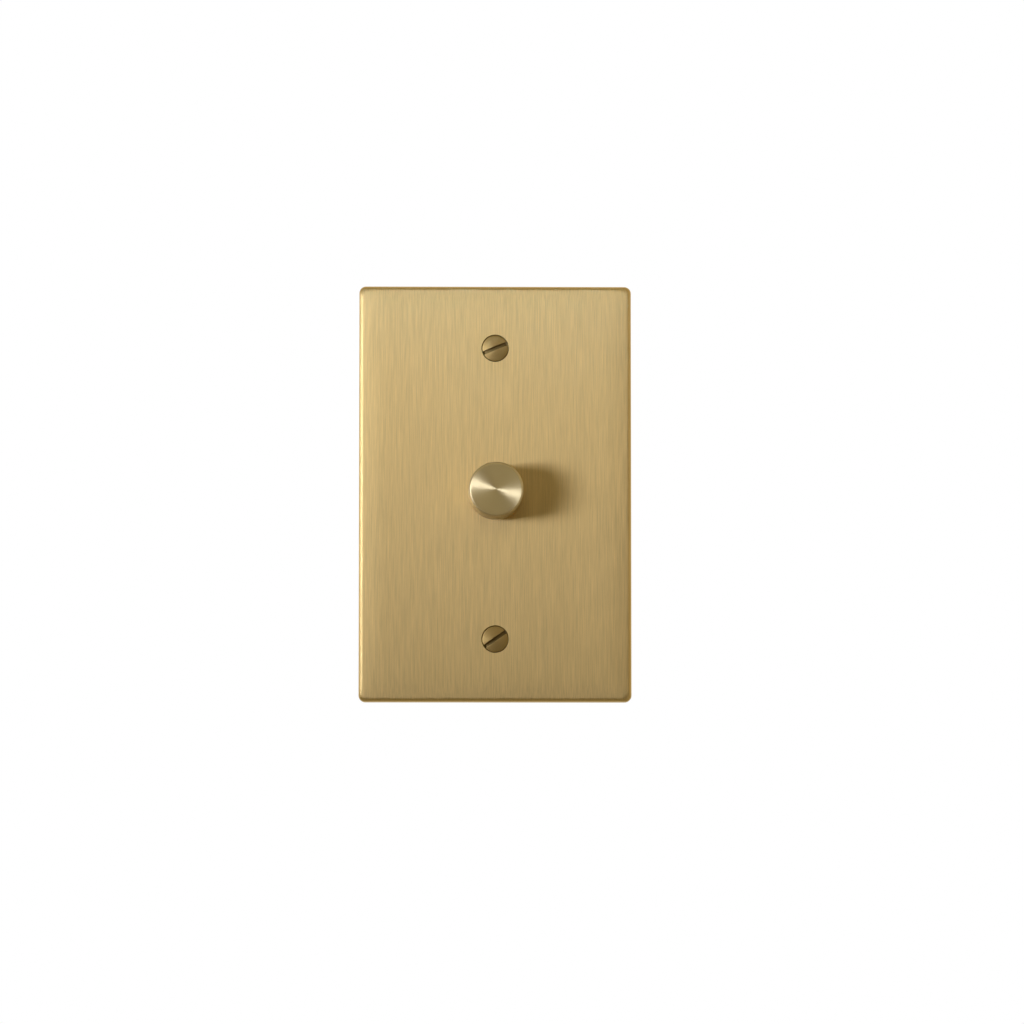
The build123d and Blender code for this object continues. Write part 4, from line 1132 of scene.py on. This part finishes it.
def soft_light(name, place, target, size, power, tint, spread=math.pi):
    """A rectangular light that points at a target. A small spread stands for a grid before it."""
    lamp = bpy.data.lights.new(name, "AREA")
    lamp.shape = "RECTANGLE"
    lamp.size, lamp.size_y = size
    lamp.energy = power
    lamp.color = tint
    lamp.spread = spread
    light = bpy.data.objects.new(name, lamp)
    bpy.context.scene.collection.objects.link(light)
    light.location = place
    light.rotation_euler = (Vector(target) - Vector(place)).to_track_quat("-Z", "Y").to_euler()


def pale_world(front, side, back):
    """White where it is seen directly, and a dimmer, warmer studio for everything that it lights."""
    world = bpy.data.worlds.new("Pale studio")
    world.use_nodes = True
    tree = world.node_tree
    tree.nodes.clear()
    out = tree.nodes.new("ShaderNodeOutputWorld")
    seen = add_node(tree, "ShaderNodeBackground", {"Color": (1, 1, 1, 1), "Strength": 1.0})
    direction = add_node(tree, "ShaderNodeTexCoord").outputs["Generated"]
    towards = add_node(tree, "ShaderNodeSeparateXYZ", {0: direction}).outputs
    beside = ramp(tree, towards["Y"], -0.95, -0.3, front, side)
    height = ramp(tree, towards["Z"], -0.7, 0.5, 0.7, 1.1)
    right = ramp(tree, towards["X"], 0.35, 0.9, 1.0, 1.6)
    shade = calc(tree, "MULTIPLY", calc(tree, "MULTIPLY", beside, height), right)
    behind = ramp(tree, towards["Y"], 0.05, 0.5, 0.0, 1.0)
    hue = mix_colours(tree, behind, (1.0, 0.81, 0.46), (1.0, 1.0, 1.0))
    lift = calc(tree, "MULTIPLY_ADD", behind, back, shade)
    lit = add_node(tree, "ShaderNodeBackground", {"Color": hue, "Strength": lift})
    path = add_node(tree, "ShaderNodeLightPath")
    mix = add_node(
        tree, "ShaderNodeMixShader", {0: path.outputs["Is Camera Ray"], 1: lit.outputs[0], 2: seen.outputs[0]}
    )
    tree.links.new(mix.outputs[0], out.inputs["Surface"])
    bpy.context.scene.world = world


def pale_floor(height):
    """A wide pale disc that the metal does not mirror."""

    def build(bm):
        bmesh.ops.create_circle(bm, cap_ends=True, segments=96, radius=2.4)

    mesh = mesh_of("floor", build)
    floor = bpy.data.objects.new("floor", mesh)
    floor.location = (0, 0, height)
    f = Finish("Pale floor", 0.6)
    mottle = f.group("Soft mottle", Size=120.0)
    cloud = f.range(mottle.outputs["Mottle"], 0.0, 1.0)
    f.link(f.blend(cloud, (0.80, 0.80, 0.80), (0.84, 0.84, 0.84)), "Base Color")
    f.set(Emission_Color=(0.9, 0.95, 1.0, 1.0), Emission_Strength=0.38)
    mesh.materials.append(f.material)
    floor.visible_glossy = False
    floor.visible_diffuse = False
    bpy.context.scene.collection.objects.link(floor)


class SWITCH_OT_stage(Operator):
    """Builds the pale floor, the soft lights and the camera"""

    bl_idname = "switch.stage"
    bl_label = "Stage"

    def execute(self, context):
        s = context.scene.switch_stage
        pale_world(s.front, s.side, s.back)
        pale_floor(s.floor)
        soft_light(
            "key_light", (-0.70, -0.695, 0.0), (0.0, 0.0, s.feather), (0.54, 0.19),
            s.key, (0.95, 0.99, 1.2), s.key_spread,
        )
        soft_light(
            "fill_light", (0.05, -1.1, 0.36), (0.0, 0.0, 0.03), (0.6, 0.25), s.fill, (1.0, 0.9, 0.72),
        )
        soft_light(
            "top_light", (-0.15, -0.95, 0.45), (0.0, 0.0, 0.088), (0.25, 0.04),
            s.top, (0.62, 1.0, 1.65), s.top_spread,
        )
        camera = bpy.data.objects.new("camera", bpy.data.cameras.new("camera"))
        context.scene.collection.objects.link(camera)
        level = math.cos(s.below)
        back = Vector((-math.sin(s.left) * level, -math.cos(s.left) * level, -math.sin(s.below)))
        turn = (-back).to_track_quat("-Z", "Y")
        face = Vector((0.0, PLATE_LOW.y * MM, 0.0))
        shift = Vector((0.00479, -0.00532, 0.0))
        aim = face + turn @ shift
        camera.location = aim + back * s.distance
        camera.rotation_euler = turn.to_euler()
        camera.data.lens = camera.data.sensor_width * s.distance / s.width
        camera.data.clip_start = 0.05
        camera.data.clip_end = 50.0
        context.scene.camera = camera
        context.scene.view_settings.view_transform = "Standard"
        return {"FINISHED"}


# ---- panel and registration


class SWITCH_PT_panel(Panel):
    """Lists the switch's builders and their settings"""

    bl_idname = "SWITCH_PT_panel"
    bl_label = "Brass dimmer switch"
    bl_space_type = "VIEW_3D"
    bl_region_type = "UI"
    bl_category = "Switch"

    def draw(self, context):
        for name, _, operators in SECTIONS:
            box = self.layout.box()
            settings = getattr(context.scene, name)
            for key in settings.bl_rna.properties.keys():
                if key not in ("rna_type", "name"):
                    box.prop(settings, key)
            for operator in operators:
                box.operator(operator.bl_idname)


SECTIONS = (
    ("switch_plate", PlateSettings, (SWITCH_OT_wall_plate,)),
    ("switch_screws", ScrewSettings, (SWITCH_OT_box_screws,)),
    ("switch_knob", KnobSettings, (SWITCH_OT_knob,)),
    ("switch_module", ModuleSettings, (SWITCH_OT_fixings, SWITCH_OT_module_case, SWITCH_OT_module_works)),
    ("switch_stage", StageSettings, (SWITCH_OT_stage,)),
)


def register():
    for name, settings, operators in SECTIONS:
        bpy.utils.register_class(settings)
        setattr(bpy.types.Scene, name, PointerProperty(type=settings))
        for operator in operators:
            bpy.utils.register_class(operator)
    bpy.utils.register_class(SWITCH_PT_panel)


def unregister():
    bpy.utils.unregister_class(SWITCH_PT_panel)
    for name, settings, operators in reversed(SECTIONS):
        for operator in operators:
            bpy.utils.unregister_class(operator)
        delattr(bpy.types.Scene, name)
        bpy.utils.unregister_class(settings)


def main():
    """Builds the whole switch and its stage."""
    register()
    bpy.ops.switch.wall_plate()
    bpy.ops.switch.box_screws()
    bpy.ops.switch.knob()
    bpy.ops.switch.fixings()
    bpy.ops.switch.module_case()
    bpy.ops.switch.module_works()
    bpy.ops.switch.stage()


if __name__ == "__main__":
    main()
